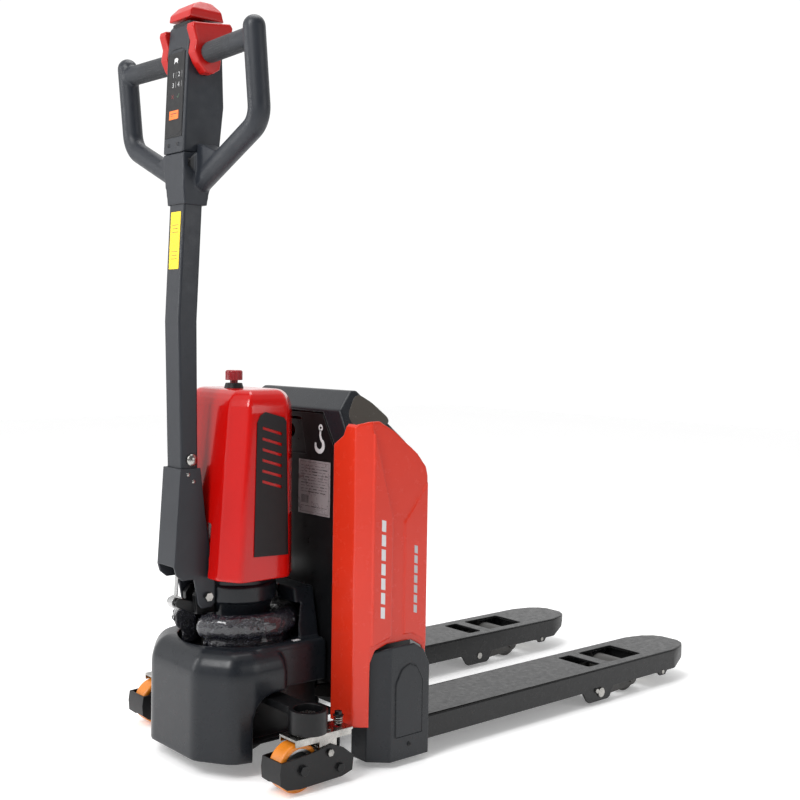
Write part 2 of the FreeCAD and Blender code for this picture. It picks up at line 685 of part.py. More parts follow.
def make_vent_panel():
    face = [(-322, 421), (-238, 418), (-246, 684), (-252, 692), (-296, 704), (-308, 698),
            (-316, 684)]
    plate = prism_xz(face, -125, -108)
    cover = cover_solid(0.0, COVER_Z0)
    outer = cover.copy()
    outer.translate(v(0, -2.5, 0))
    plate = plate.common(outer).cut(cover)
    for i in range(6):
        z = 676 - 21 * i
        louvre = [(-304, z), (-256, z - 14), (-256, z - 20), (-304, z - 6)]
        plate = plate.cut(prism_xz(louvre, -140, -100))
    return plate


def make_tiller_base():
    """Lugs on the collar for the tiller's pivot, and two ears beside the gas spring's eye."""
    lugs = []
    for side in (-1, 1):
        a, b = sorted((side * 12.0, side * 24.0))
        lugs.append(prism_xz([(-340, 254), (-352, 300), (-392, 300), (-396, 338), (-384, 352),
                              (-362, 352), (-350, 350), (-330, 350), (-330, 254)], a, b))
        a, b = sorted((side * 12.0, side * 17.0))
        lugs.append(bar_between(EYE_X, EYE_Z, -372, 306, 9, 12, a, b))
    web = box(-368, -352, -24, 24, 300, 318)
    body = fuse(lugs + [web])
    keep_out = [cyl_z(STEER_X, 0, 82.0, 318, 360), cone_z(STEER_X, 0, 62, 74, 262, 318),
                cyl_z(STEER_X, 0, 62, 240, 262)]
    return cut_all(body, keep_out).cut(cyl_y(TILLER_X, TILLER_Z, 6.05, -40, 40))


def make_harness():
    """Bundled cables lying round the collar inside the deck opening."""
    ring = Part.makeTorus(104, 26, v(STEER_X, 0, 279), v(0, 0, 1))
    ring = ring.cut(cyl_z(STEER_X, 0, 78.5, 200, 400))
    ring = ring.cut(cyl_z(STEER_X, 0, 200, 200, 250))
    root = tube_z(STEER_X, 0, 80, 112, 226, 266)
    return fuse([ring, root]).cut(box(-470, -340, -37, 37, 200, 340))


def make_estop_collar():
    return cone_z(ESTOP_X, 0, 20, 17, COVER_Z1, COVER_Z1 + 10).cut(
        cyl_z(ESTOP_X, 0, 8.3, COVER_Z1 - 5, COVER_Z1 + 20))


def make_estop_button():
    cap = cyl_z(ESTOP_X, 0, 17.5, COVER_Z1 + 16, COVER_Z1 + 36)
    cap = cap.makeFillet(4.0, [e for e in cap.Edges
                               if e.Closed and abs(e.BoundBox.ZMin - COVER_Z1 - 36) < 0.01])
    for i in range(16):
        a = i * math.pi / 8
        x = ESTOP_X + 18.6 * math.cos(a)
        y = 18.6 * math.sin(a)
        cap = cap.cut(cyl_z(x, y, 1.8, COVER_Z1 + 10, COVER_Z1 + 40))
    return fuse([cap, cyl_z(ESTOP_X, 0, 8.0, COVER_Z1 + 6, COVER_Z1 + 16)])


# ---------------------------------------------------------------- tiller

def make_tiller_shroud():
    """Folded channel that joins the tiller to its pivot and covers the gas spring."""
    side = [(-438, 592), (-450, 400), (-445, 384), (-430, 372), (-404, 372), (-394, 322),
            (-386, 312), (-362, 312), (-354, 322), (-354, 350), (-366, 420), (-380, 500),
            (-392, 592)]
    body = prism_xz(side, -33, 33)
    body = body.cut(box(-452, -340, -27.5, 27.5, 300, 596))
    body = body.fuse(prism_xz([(-438, 592), (-450, 400), (-446, 400), (-434, 592)], -28, 28))
    body = body.fuse(prism_xz([(-366, 420), (-380, 500), (-384, 500), (-370, 420)], -28, 28))
    return fuse([body]).cut(cyl_y(TILLER_X, TILLER_Z, 6.05, -50, 50))


def make_tiller_bolt():
    return fuse([cyl_y(TILLER_X, TILLER_Z, 6.0, -37, 37),
                 hex_y(TILLER_X, TILLER_Z, 16, -41, -33.4),
                 hex_y(TILLER_X, TILLER_Z, 16, 33.4, 41)])


def make_dome(x, z, radius, height, side, start):
    """Low domed bolt head standing on the plane y = start."""
    ball = (radius * radius + height * height) / (2.0 * height)
    dome = Part.makeSphere(ball, v(x, side * (start + height - ball), z))
    a, b = sorted((side * start, side * (start + height + 1)))
    return dome.common(cyl_y(x, z, radius, a, b))


def make_anchor_bolt():
    """Through bolt that carries the gas spring's upper eye."""
    parts = [cyl_y(ANCHOR_X, ANCHOR_Z, 4.0, -28, 28)]
    for side in (-1, 1):
        a, b = sorted((side * 27.4, side * 31.0))
        parts.append(cyl_y(ANCHOR_X, ANCHOR_Z, 12.0, a, b))
        parts.append(make_dome(ANCHOR_X, ANCHOR_Z, 12.0, 6.0, side, 31.0))
    return fuse(parts)


def make_tiller_arm():
    outline = [(-432, 562), (-442, 880), (-431, 1140), (-388, 1140), (-399, 880), (-393.5, 562)]
    body = prism_xz(outline, -27.4, 27.4)
    body = body.makeFillet(5.0, [e for e in body.Edges if e.BoundBox.ZLength > 100])
    inner = [(-428, 550), (-438, 880), (-427, 1160), (-392, 1160), (-403, 880), (-396.5, 550)]
    body = body.cut(prism_xz(inner, -23.4, 23.4))
    return body.cut(cyl_y(ANCHOR_X, ANCHOR_Z, 4.05, -50, 50))


def make_gas_barrel():
    barrel = bar_round(ANCHOR_X, ANCHOR_Z, EYE_X, EYE_Z, 8, 150, 9.0)
    eye = cyl_y(ANCHOR_X, ANCHOR_Z, 11, -8, 8)
    body = fuse([barrel, eye])
    bore = bar_round(ANCHOR_X, ANCHOR_Z, EYE_X, EYE_Z, 40, 160, 4.05)
    return body.cut(bore).cut(cyl_y(ANCHOR_X, ANCHOR_Z, 4.05, -20, 20))


def bar_round(xa, za, xb, zb, s0, s1, radius):
    """A round bar on the line from a to b, between distances s0 and s1 from a."""
    dx, dz = xb - xa, zb - za
    length = math.hypot(dx, dz)
    ux, uz = dx / length, dz / length
    start = v(xa + ux * s0, 0, za + uz * s0)
    return Part.makeCylinder(radius, s1 - s0, start, v(ux, 0, uz))


def make_gas_rod():
    rod = bar_round(ANCHOR_X, ANCHOR_Z, EYE_X, EYE_Z, 118, 276, 4.0)
    return fuse([rod, cyl_y(EYE_X, EYE_Z, 13, -8, 8), cyl_y(EYE_X, EYE_Z, 6, -11, 11)])


def make_shroud_screws():
    """Button screws that hold the shroud to the lower end of the tiller."""
    screws = []
    for x, z in ((-420, 580), (-408, 566)):
        for side in (-1, 1):
            screws.append(make_dome(x, z, 4.0, 2.0, side, 33.0))
    return Part.makeCompound(screws)


def make_neck():
    """Casting that clamps the tiller and spreads into the roots of both handle loops."""
    front = [(-32, 1106), (-34, 1140), (-HEAD_HALF, 1170), (-HEAD_HALF, 1206), (HEAD_HALF, 1206),
             (HEAD_HALF, 1170), (34, 1140), (32, 1106)]
    side = [(-434, 1106), (-438, 1140), (-442, 1206), (-358, 1206), (-376, 1140), (-382, 1106)]
    body = prism_yz(front, -460, -340).common(prism_xz(side, -60, 60))
    socket = prism_xz([(-434, 1100), (-431, 1140.3), (-387.6, 1140.3), (-389, 1100)], -27.8, 27.8)
    return body.cut(socket)


def make_head():
    side = [(-442, 1206), (-434, 1400), (-429, 1450), (-421, 1459), (-370, 1459), (-354, 1444),
            (-348, 1300), (-358, 1206)]
    body = prism_xz(side, -HEAD_HALF, HEAD_HALF)
    rim = [e for e in body.Edges if abs(abs(e.CenterOfMass.y) - HEAD_HALF) < 0.01]
    body = body.makeFillet(6.0, rim)
    body = body.cut(cyl_y(GRIP_X, GRIP_Z, 16.35, -60, 60))
    return body.cut(cyl_z(-396, 0, 18.4, 1432, 1500))


def make_keypad():
    lean = 8.0 / 194.0
    x = -442 + 30 * lean
    rise = 164 * lean
    return prism_xz([(x - 1.0, 1236), (x, 1236), (x + rise, 1400), (x - 1.0 + rise, 1400)],
                    -31, 31)


def make_handle_loop():
    """One grip: a cross bar, a long outer leg and a strut running down into the neck."""
    top = fuse([cyl_y(GRIP_X, GRIP_Z, 12.0, -70, -18),
                swept_tube([(GRIP_X, -64.4, GRIP_Z), (-412, -229, 1394)], 19.5, 10.0)])
    leg = swept_tube([(-414, -230, 1410), (-398, -229, 1244), (-392, -20, 1148)], 21.0, 46.0)
    web = prism_yz([(-36, 1140), (-36, 1222), (-52, 1222), (-120, 1196), (-120, 1186)],
                   -412, -376)
    cap = Part.makeSphere(21.0, v(-414, -230, 1410))
    loop = fuse([top, leg, web, cap])
    bore = cyl_y(GRIP_X, GRIP_Z, 40, -64.3, -18).cut(cyl_y(GRIP_X, GRIP_Z, 12.0, -70, -10))
    loop = loop.cut(bore)
    inside = box(-470, -330, -HEAD_HALF - 0.4, 40, 1206, 1380)
    neck = box(-470, -330, -HEAD_HALF, 40, 1165, 1207)
    foot = prism_yz([(-HEAD_HALF, 1170), (-34, 1140), (-32, 1106), (-32, 1040), (60, 1040),
                     (60, 1170)], -470, -330)
    return cut_all(loop, [inside, neck, foot])


def make_throttle_wing():
    side = [(-436, 1449), (-402, 1452), (-352, 1458), (-346, 1450), (-348, 1440), (-384, 1420),
            (-372, 1390), (-375, 1366), (-390, 1356), (-408, 1356), (-424, 1374), (-434, 1394),
            (-430, 1416), (-438, 1440)]
    wing = prism_xz(side, -63.5, -39)
    return wing.makeFillet(4.0, [e for e in wing.Edges if abs(e.CenterOfMass.y + 63.5) < 0.01])


def make_throttle():
    """Both thumb wings on the tube that turns round the grip roots."""
    wing = make_throttle_wing()
    body = fuse([wing, mirror(wing), cyl_y(GRIP_X, GRIP_Z, 16.0, -41, 41)])
    return body.cut(cyl_y(GRIP_X, GRIP_Z, 12.06, -80, 80))


def make_belly_button():
    side = [(-430, 1465), (-428, 1478), (-414, 1494), (-392, 1504), (-374, 1502), (-358, 1488),
            (-351, 1465)]
    cap = prism_xz(side, -HEAD_HALF, HEAD_HALF)
    front = [(-HEAD_HALF, 1465), (-HEAD_HALF, 1482), (-26, 1500), (-10, 1506), (10, 1506),
             (26, 1500), (HEAD_HALF, 1482), (HEAD_HALF, 1465)]
    cap = cap.common(prism_yz(front, -460, -330))
    return fuse([cap, cyl_z(-396, 0, 18.0, 1440, 1470)])


# ---------------------------------------------------------------- casters

def make_caster_swivel():
    """Zinc channel under the cup with its kingpin and the rocker's pivot bolt."""
    y = -CASTER_Y
    top = box(-334, -196, y - 26, y + 26, 99, 104)
    cheeks = [box(-278, -236, y - 26, y - 22, 54, 101), box(-278, -236, y + 22, y + 26, 54, 101)]
    lips = [box(-334, -200, y - 26, y - 23, 90, 101), box(-334, -200, y + 23, y + 26, 90, 101)]
    channel = fuse([top] + cheeks + lips)
    channel = channel.cut(cyl_y(ROCK_X, ROCK_Z, 5.05, y - 60, y + 60))
    channel = channel.cut(cyl_z(SPRING_X, y, 7.5, 70, 110))
    kingpin = fuse([cyl_z(CASTER_X, y, 16.0, 104, 133), hex_z(CASTER_X, y, 30, 132.4, 141),
                    cyl_z(CASTER_X, y, 30, 104, 105.6)])
    pivot = fuse([cyl_y(ROCK_X, ROCK_Z, 5.0, y - 34, y + 34),
                  hex_y(ROCK_X, ROCK_Z, 13, y - 36, y - 31), hex_y(ROCK_X, ROCK_Z, 13, y + 31, y + 36)])
    return group(channel, kingpin, pivot)


def make_caster_rocker():
    """Black cheek plates, the guard band round the front of the wheel, and the wheel bolt."""
    y = -CASTER_Y
    outer = [(-370, 70), (-373, 50), (-371, 28), (-356, 17), (-325, 13), (-226, 15), (-200, 22),
             (-197, 50), (-222, 70), (-250, 82), (-292, 76), (-330, 72)]
    parts = []
    for side in (-1, 1):
        a, b = sorted((side * 26.6, side * 30.6))
        parts.append(prism_xz(outer, y + a, y + b))
    band = prism_xz([(-370, 70), (-373, 50), (-371, 28), (-368, 28), (-370, 50), (-367, 70)],
                    y - 30, y + 30)
    tail = box(-224, -200, y - 30, y + 30, 40, 45)
    stop = cyl_y(-232, 34, 6, y - 30, y + 30)
    body = fuse(parts + [band, tail, stop] + [hex_y(-232, 34, 16, y - 36, y - 30.6),
                                              hex_y(-232, 34, 16, y + 30.6, y + 36)])
    body = body.cut(cyl_y(ROCK_X, ROCK_Z, 5.05, y - 60, y + 60))
    body = body.cut(cyl_y(CASTER_AXLE_X, CASTER_AXLE_Z, 6.05, y - 60, y + 60))
    axle = [cyl_y(CASTER_AXLE_X, CASTER_AXLE_Z, 6.0, y - 32, y + 32)]
    for side in (-1, 1):
        a, b = sorted((side * 30.6, side * 37.0))
        axle.append(hex_y(CASTER_AXLE_X, CASTER_AXLE_Z, 18, y + a, y + b))
        a, b = sorted((side * 19.4, side * 26.6))
        axle.append(cyl_y(CASTER_AXLE_X, CASTER_AXLE_Z, 10, y + a, y + b))
    puller = fuse([cyl_z(SPRING_X, y, 4.0, 45, 132), cyl_z(SPRING_X, y, 11, 122, 124),
                   hex_z(SPRING_X, y, 13, 124, 131)])
    return group(body, fuse(axle), puller)


def make_caster_tyre():
    y = -CASTER_Y
    tyre = cyl_y(CASTER_AXLE_X, CASTER_AXLE_Z, CASTER_R, y - CASTER_HALF, y + CASTER_HALF)
    tyre = tyre.makeFillet(6.0, [e for e in tyre.Edges if e.Closed])
    return tyre.cut(cyl_y(CASTER_AXLE_X, CASTER_AXLE_Z, 37, y - 30, y + 30))


def make_caster_hub():
    y = -CASTER_Y
    hub = cyl_y(CASTER_AXLE_X, CASTER_AXLE_Z, 37, y - 17, y + 17)
    hub = cut_all(hub, [cyl_y(CASTER_AXLE_X, CASTER_AXLE_Z, 31, y - 20, y - 10),
                        cyl_y(CASTER_AXLE_X, CASTER_AXLE_Z, 31, y + 10, y + 20)])
    hub = fuse([hub, cyl_y(CASTER_AXLE_X, CASTER_AXLE_Z, 15, y - 19, y + 19)])
    return hub.cut(cyl_y(CASTER_AXLE_X, CASTER_AXLE_Z, 6.05, y - 30, y + 30))


def make_caster_spring():
    """Compression spring on the puller bolt, between the channel and the bolt's washer."""
    y = -CASTER_Y
    z0, z1 = 106.0, 120.2
    helix = Part.makeHelix(4.6, z1 - z0, 8.0)
    helix.translate(v(SPRING_X, y, z0))
    ring = Part.Wire(Part.makeCircle(1.5, v(SPRING_X + 8.0, y, z0), v(0, 1, 0)))
    return Part.Wire(helix.Edges).makePipeShell([ring], True, True)


def group(*shapes):
    return Part.makeCompound(list(shapes))


def both(shape):
    """A right-hand piece and its mirror image as one group of separate solids."""
    return Part.makeCompound([shape, mirror(shape)])


def export_casters():
    export_pair("caster_swivel", make_caster_swivel())
    export_pair("caster_rocker", make_caster_rocker())
    export_pair("caster_tyre", make_caster_tyre())
    export_pair("caster_hub", make_caster_hub())
    export_pair("caster_spring", make_caster_spring())


def export_forks():
    export_pair("fork", make_fork())
    export("fork_pins", group(both(make_pivot_pin()), both(make_entry_pin())))
    export_pair("entry_roller", make_entry_roller())
    export_pair("roller_arm", group(make_roller_arm(), make_roller_axle(), make_lever_pin()))
    export_pair("load_roller", make_load_roller())
    export("push_rods", both(make_push_rod()))
    export("rocker", make_rocker())


def export_carriage():
    export("lift_frame", make_lift_frame())
    export("slide_blocks", both(make_slide_block()))
    export_pair("side_panel", make_side_panel())
    export_pair("corner_cover", make_corner_cover())
    export("front_cover", make_front_cover())
    export("data_plate", make_data_plate())
    export("battery", make_battery())
    export("controller", make_controller())
    export("lift_ram", make_ram())
    export("lid", make_lid())


def export_chassis():
    export("chassis", make_chassis())
    export("skirt", fuse([make_skirt(), make_hump()]))
    export("slew_bearing", make_bearing_outer())
    export("hydraulic_unit", group(make_hydraulic_tank(), make_pump_motor()))
    export("lift_cylinder", make_cylinder())


def export_drive_unit():
    export("drive_tyre", make_drive_tyre())
    export("drive_hub", make_drive_hub())
    export("gearbox", make_gearbox())
    export("drive_motor", make_motor())
    export("steer_collar", make_steer_collar())
    export("motor_cover", make_motor_cover())
    export("cover_trim", group(both(make_vent_panel()), make_estop_collar()))
    export("tiller_base", make_tiller_base())
    export("harness", make_harness())
    export("estop_button", make_estop_button())


def export_tiller():
    export("tiller_shroud", make_tiller_shroud())
    export("tiller_arm", make_tiller_arm())
    export("tiller_bolts", group(make_tiller_bolt(), make_anchor_bolt(), make_shroud_screws()))
    export("gas_spring_barrel", make_gas_barrel())
    export("gas_spring_rod", make_gas_rod())
    export("neck", make_neck())
    export("head", make_head())
    export("keypad", make_keypad())
    export_pair("handle", make_handle_loop())
    export("throttle", make_throttle())
    export("belly_button", make_belly_button())


def main():
    os.makedirs("parts", exist_ok=True)
    export_forks()
    export_carriage()
    export_chassis()
    export_drive_unit()
    export_tiller()
    export_casters()


main()
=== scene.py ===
import json
import math
import random

import bmesh
import bpy
from mathutils import Matrix, Vector, noise

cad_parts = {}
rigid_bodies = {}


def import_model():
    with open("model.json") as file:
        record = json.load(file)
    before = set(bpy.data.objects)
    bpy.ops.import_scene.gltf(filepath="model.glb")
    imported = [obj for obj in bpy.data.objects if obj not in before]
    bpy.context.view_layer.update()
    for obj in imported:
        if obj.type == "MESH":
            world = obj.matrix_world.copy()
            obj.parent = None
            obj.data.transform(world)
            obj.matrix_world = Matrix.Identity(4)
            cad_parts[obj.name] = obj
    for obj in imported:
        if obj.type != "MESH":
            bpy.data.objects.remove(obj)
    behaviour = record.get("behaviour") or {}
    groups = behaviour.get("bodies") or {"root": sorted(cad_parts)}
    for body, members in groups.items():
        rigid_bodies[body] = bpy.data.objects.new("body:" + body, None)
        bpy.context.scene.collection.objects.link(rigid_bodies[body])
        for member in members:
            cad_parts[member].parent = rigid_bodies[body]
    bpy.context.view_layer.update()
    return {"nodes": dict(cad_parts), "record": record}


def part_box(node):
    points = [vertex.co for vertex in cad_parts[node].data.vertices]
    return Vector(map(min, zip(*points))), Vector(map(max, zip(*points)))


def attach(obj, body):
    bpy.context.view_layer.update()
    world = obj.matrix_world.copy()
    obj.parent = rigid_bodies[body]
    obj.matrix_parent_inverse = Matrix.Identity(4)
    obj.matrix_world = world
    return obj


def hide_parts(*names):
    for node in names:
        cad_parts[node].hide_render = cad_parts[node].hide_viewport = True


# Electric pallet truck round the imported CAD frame, in metres.

for stray in list(bpy.data.objects):
    bpy.data.objects.remove(stray)

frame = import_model()
NODES = frame["nodes"]
BODY_OF = {n: body for body, names in frame["record"]["behaviour"]["bodies"].items() for n in names}
MM = 0.001
X_MID = 250.0
LEFT_RIGHT = ("left", "right")
SIDES = (("left", 1.0), ("right", -1.0))
GRIP_X, GRIP_Z = -402.0, 1394.0
GRIP_RADIUS = 0.01975
GRIP_RIDGE = 0.00035
HEAD_LEAN = 8.0 / 194.0
ARM_LEAN = 11.0 / 260.0
NECK_HALF = 0.038
FILM_DEPTH = 0.003


def at(x, y, z):
    """A point given in the truck's working millimetres (X = 0 at the fork face)."""
    return Vector(((x - X_MID) * MM, y * MM, z * MM))


# ------------------------------------------------------------------ camera and light

def place_camera():
    yaw, pitch, roll = math.radians(50.746), math.radians(-1.958), math.radians(0.775)
    ahead = Vector((math.cos(pitch) * math.cos(yaw), math.cos(pitch) * math.sin(yaw), math.sin(pitch)))
    right = Vector((math.sin(yaw), -math.cos(yaw), 0.0))
    up = right.cross(ahead)
    right_r = right * math.cos(roll) + up * math.sin(roll)
    up_r = up * math.cos(roll) - right * math.sin(roll)
    turn = Matrix((right_r, up_r, -ahead)).transposed()
    data = bpy.data.cameras.new("camera")
    data.lens = 52.48
    data.sensor_width = 36.0
    data.shift_x = 0.0814
    data.shift_y = -0.0273
    data.clip_start = 0.05
    data.clip_end = 60.0
    camera = bpy.data.objects.new("camera", data)
    camera.matrix_world = Matrix.Translation((-1.8861, -1.9686, 0.8504)) @ turn.to_4x4()
    bpy.context.scene.collection.objects.link(camera)
    bpy.context.scene.camera = camera


def area_light(name, place, target, size, power, tint=(1.0, 1.0, 1.0)):
    data = bpy.data.lights.new(name, "AREA")
    data.shape = "RECTANGLE"
    data.size, data.size_y = size
    data.energy = power
    data.color = tint
    lamp = bpy.data.objects.new(name, data)
    aim = Vector(target) - Vector(place)
    lamp.rotation_mode = "QUATERNION"
    lamp.rotation_quaternion = aim.to_track_quat("-Z", "Y")
    lamp.location = place
    bpy.context.scene.collection.objects.link(lamp)


def light_scene():
    world = bpy.data.worlds.new("studio")
    bpy.context.scene.world = world
    world.use_nodes = True
    tree = world.node_tree
    back = tree.nodes["Background"]
    back.inputs["Color"].default_value = (1.0, 1.0, 1.0, 1.0)
    direction = tree.nodes.new("ShaderNodeTexCoord")
    parts = tree.nodes.new("ShaderNodeSeparateXYZ")
    tree.links.new(direction.outputs["Generated"], parts.inputs["Vector"])
    fall = tree.nodes.new("ShaderNodeMapRange")
    fall.interpolation_type = "SMOOTHSTEP"
    for socket, value in (("From Min", -0.75), ("From Max", 0.15), ("To Min", 0.22), ("To Max", 1.05)):
        fall.inputs[socket].default_value = value
    tree.links.new(parts.outputs["Y"], fall.inputs["Value"])
    tree.links.new(fall.outputs["Result"], back.inputs["Strength"])
    area_light("key", (-2.6, -0.6, 2.4), (-0.4, 0.0, 0.5), (0.7, 1.3), 46.0)
    area_light("side", (0.6, -2.8, 1.5), (-0.1, 0.0, 0.4), (1.6, 1.2), 16.0)
    area_light("top", (-0.2, 0.2, 3.2), (-0.1, 0.0, 0.2), (1.6, 1.4), 34.0)
    area_light("strip", (-2.3, 1.2, 1.2), (-0.5, 0.0, 0.6), (0.3, 1.5), 14.0)
    bpy.context.scene.view_settings.view_transform = "Standard"


# ------------------------------------------------------------------ materials

class Nodes:
    """Small helper for building one material's node tree."""

    def __init__(self, name):
        self.material = bpy.data.materials.new(name)
        self.material.use_nodes = True
        self.tree = self.material.node_tree
        self.shader = self.tree.nodes["Principled BSDF"]
        self.coordinates = self.add("ShaderNodeTexCoord").outputs["Object"]

    def add(self, kind, **settings):
        made = self.tree.nodes.new(kind)
        for key, value in settings.items():
            setattr(made, key, value)
        return made

    def link(self, source, target):
        self.tree.links.new(source, target)

    def stretched(self, scale):
        mapping = self.add("ShaderNodeMapping")
        mapping.inputs["Scale"].default_value = scale
        self.link(self.coordinates, mapping.inputs["Vector"])
        return mapping.outputs["Vector"]

    def noise(self, scale, detail=3.0, rough=0.55, stretch=None, distortion=0.0):
        made = self.add("ShaderNodeTexNoise")
        made.inputs["Scale"].default_value = scale
        made.inputs["Detail"].default_value = detail
        made.inputs["Roughness"].default_value = rough
        made.inputs["Distortion"].default_value = distortion
        self.link(self.stretched(stretch) if stretch else self.coordinates, made.inputs["Vector"])
        return made.outputs["Fac"]

    def remap(self, value, low, high, to_low, to_high):
        made = self.add("ShaderNodeMapRange")
        made.inputs["From Min"].default_value = low
        made.inputs["From Max"].default_value = high
        made.inputs["To Min"].default_value = to_low
        made.inputs["To Max"].default_value = to_high
        self.link(value, made.inputs["Value"])
        return made.outputs["Result"]

    def maths(self, operation, a, b):
        made = self.add("ShaderNodeMath", operation=operation)
        for socket, value in zip(made.inputs, (a, b)):
            if isinstance(value, (int, float)):
                socket.default_value = value
            else:
                self.link(value, socket)
        return made.outputs["Value"]

    def mix(self, factor, a, b):
        made = self.add("ShaderNodeMix", data_type="RGBA")
        self.link(factor, made.inputs["Factor"])
        for socket, value in ((made.inputs["A"], a), (made.inputs["B"], b)):
            if isinstance(value, tuple):
                socket.default_value = (*value, 1.0)
            else:
                self.link(value, socket)
        return made.outputs["Result"]

    def edge(self, radius):
        """1 near a sharp edge and 0 elsewhere, with the softened normal."""
        bevel = self.add("ShaderNodeBevel", samples=4)
        bevel.inputs["Radius"].default_value = radius
        geometry = self.add("ShaderNodeNewGeometry")
        dot = self.add("ShaderNodeVectorMath", operation="DOT_PRODUCT")
        self.link(bevel.outputs["Normal"], dot.inputs[0])
        self.link(geometry.outputs["Normal"], dot.inputs[1])
        return self.remap(dot.outputs["Value"], 0.995, 0.86, 0.0, 1.0), bevel.outputs["Normal"]


def surface(name, color, rough, darker=0.75, grain=700.0, bump=0.12, wear=None, wear_amount=0.35,
            metallic=0.0, coat=0.0, specular=0.5, blotch=5.0, rough_spread=0.07, edge_radius=0.0015,
            stretch=None, bump_size=0.0004, orange_peel=0.0):
    """Moulded, painted or metal surface: uneven tone, uneven gloss, fine grain and worn edges."""
    n = Nodes(name)
    cloudy = n.noise(blotch, 4.0, 0.6)
    fine = n.noise(grain, 2.0, 0.5, stretch)
    middle = n.noise(blotch * 9.0, 3.0, 0.6)
    dark = tuple(c * darker for c in color)
    tone = n.mix(n.remap(cloudy, 0.35, 0.7, 0.0, 1.0), color, dark)
    edge, soft = n.edge(edge_radius)
    if wear:
        amount = n.maths("MULTIPLY", edge, n.remap(middle, 0.42, 0.62, 0.0, wear_amount))
        tone = n.mix(amount, tone, wear)
    speck = n.remap(fine, 0.3, 0.7, -0.5, 0.5)
    gloss = n.maths("ADD", n.remap(middle, 0.3, 0.7, rough - rough_spread, rough + rough_spread),
                    n.maths("MULTIPLY", speck, 0.05))
    n.link(tone, n.shader.inputs["Base Color"])
    n.link(gloss, n.shader.inputs["Roughness"])
    shape = n.add("ShaderNodeBump")
    shape.inputs["Strength"].default_value = bump
    shape.inputs["Distance"].default_value = bump_size
    n.link(fine, shape.inputs["Height"])
    n.link(soft, shape.inputs["Normal"])
    last = shape
    if orange_peel:
        peel = n.add("ShaderNodeBump")
        peel.inputs["Strength"].default_value = orange_peel
        peel.inputs["Distance"].default_value = 0.0006
        n.link(n.noise(130.0, 1.0, 0.4), peel.inputs["Height"])
        n.link(shape.outputs["Normal"], peel.inputs["Normal"])
        last = peel
    n.link(last.outputs["Normal"], n.shader.inputs["Normal"])
    n.shader.inputs["Metallic"].default_value = metallic
    n.shader.inputs["Coat Weight"].default_value = coat
    n.shader.inputs["Coat Roughness"].default_value = 0.06
    n.shader.inputs["Specular IOR Level"].default_value = specular
    return n.material


def film_surface(name):
    """Clear crinkled wrapping film over dark cables, with its highlights painted in as pale streaks
    along the creases.
    """
    n = Nodes(name)
    warp = n.noise(26.0, 3.0, 0.6)
    ridges = n.add("ShaderNodeTexVoronoi", feature="DISTANCE_TO_EDGE")
    ridges.inputs["Scale"].default_value = 42.0
    shifted = n.add("ShaderNodeVectorMath", operation="ADD")
    n.link(n.stretched((1.0, 1.0, 2.2)), shifted.inputs[0])
    n.link(warp, shifted.inputs[1])
    n.link(shifted.outputs["Vector"], ridges.inputs["Vector"])
    crease = n.remap(ridges.outputs["Distance"], 0.0, 0.09, 1.0, 0.0)
    folds = n.noise(75.0, 5.0, 0.75, (1.0, 1.0, 1.6), 1.4)
    # painted highlight: pale streaks where the creases and folds meet stand for light glinting off the
    # film
    pale = n.maths("MULTIPLY", crease, n.remap(folds, 0.5, 0.72, 0.0, 0.55))
    n.link(n.mix(pale, (0.005, 0.0055, 0.011), (0.5, 0.5, 0.55)), n.shader.inputs["Base Color"])
    n.link(n.remap(folds, 0.3, 0.7, 0.03, 0.14), n.shader.inputs["Roughness"])
    low = n.add("ShaderNodeBump")
    low.inputs["Strength"].default_value = 0.75
    low.inputs["Distance"].default_value = 0.004
    n.link(folds, low.inputs["Height"])
    high = n.add("ShaderNodeBump")
    high.inputs["Strength"].default_value = 0.5
    high.inputs["Distance"].default_value = 0.0018
    n.link(crease, high.inputs["Height"])
    n.link(low.outputs["Normal"], high.inputs["Normal"])
    n.link(high.outputs["Normal"], n.shader.inputs["Normal"])
    n.shader.inputs["Coat Weight"].default_value = 1.0
    n.shader.inputs["Coat Roughness"].default_value = 0.04
    n.shader.inputs["Specular IOR Level"].default_value = 0.5
    return n.material


def rubber_grip(name):
    """Handle rubber with rows of small round knobs."""
    n = Nodes(name)
    cells = n.add("ShaderNodeTexVoronoi", feature="F1")
    cells.inputs["Scale"].default_value = 240.0
    cells.inputs["Randomness"].default_value = 0.25
    n.link(n.coordinates, cells.inputs["Vector"])
    knobs = n.remap(cells.outputs["Distance"], 0.15, 0.45, 1.0, 0.0)
    cloudy = n.noise(18.0)
    n.link(n.mix(n.remap(cloudy, 0.3, 0.7, 0.0, 1.0), (0.012, 0.0135, 0.016), (0.02, 0.022, 0.026)),
           n.shader.inputs["Base Color"])
    n.link(n.remap(knobs, 0.0, 1.0, 0.72, 0.5), n.shader.inputs["Roughness"])
    raised = n.add("ShaderNodeBump")
    raised.inputs["Strength"].default_value = 0.5
    raised.inputs["Distance"].default_value = 0.0009
    n.link(knobs, raised.inputs["Height"])
    n.link(raised.outputs["Normal"], n.shader.inputs["Normal"])
    return n.material


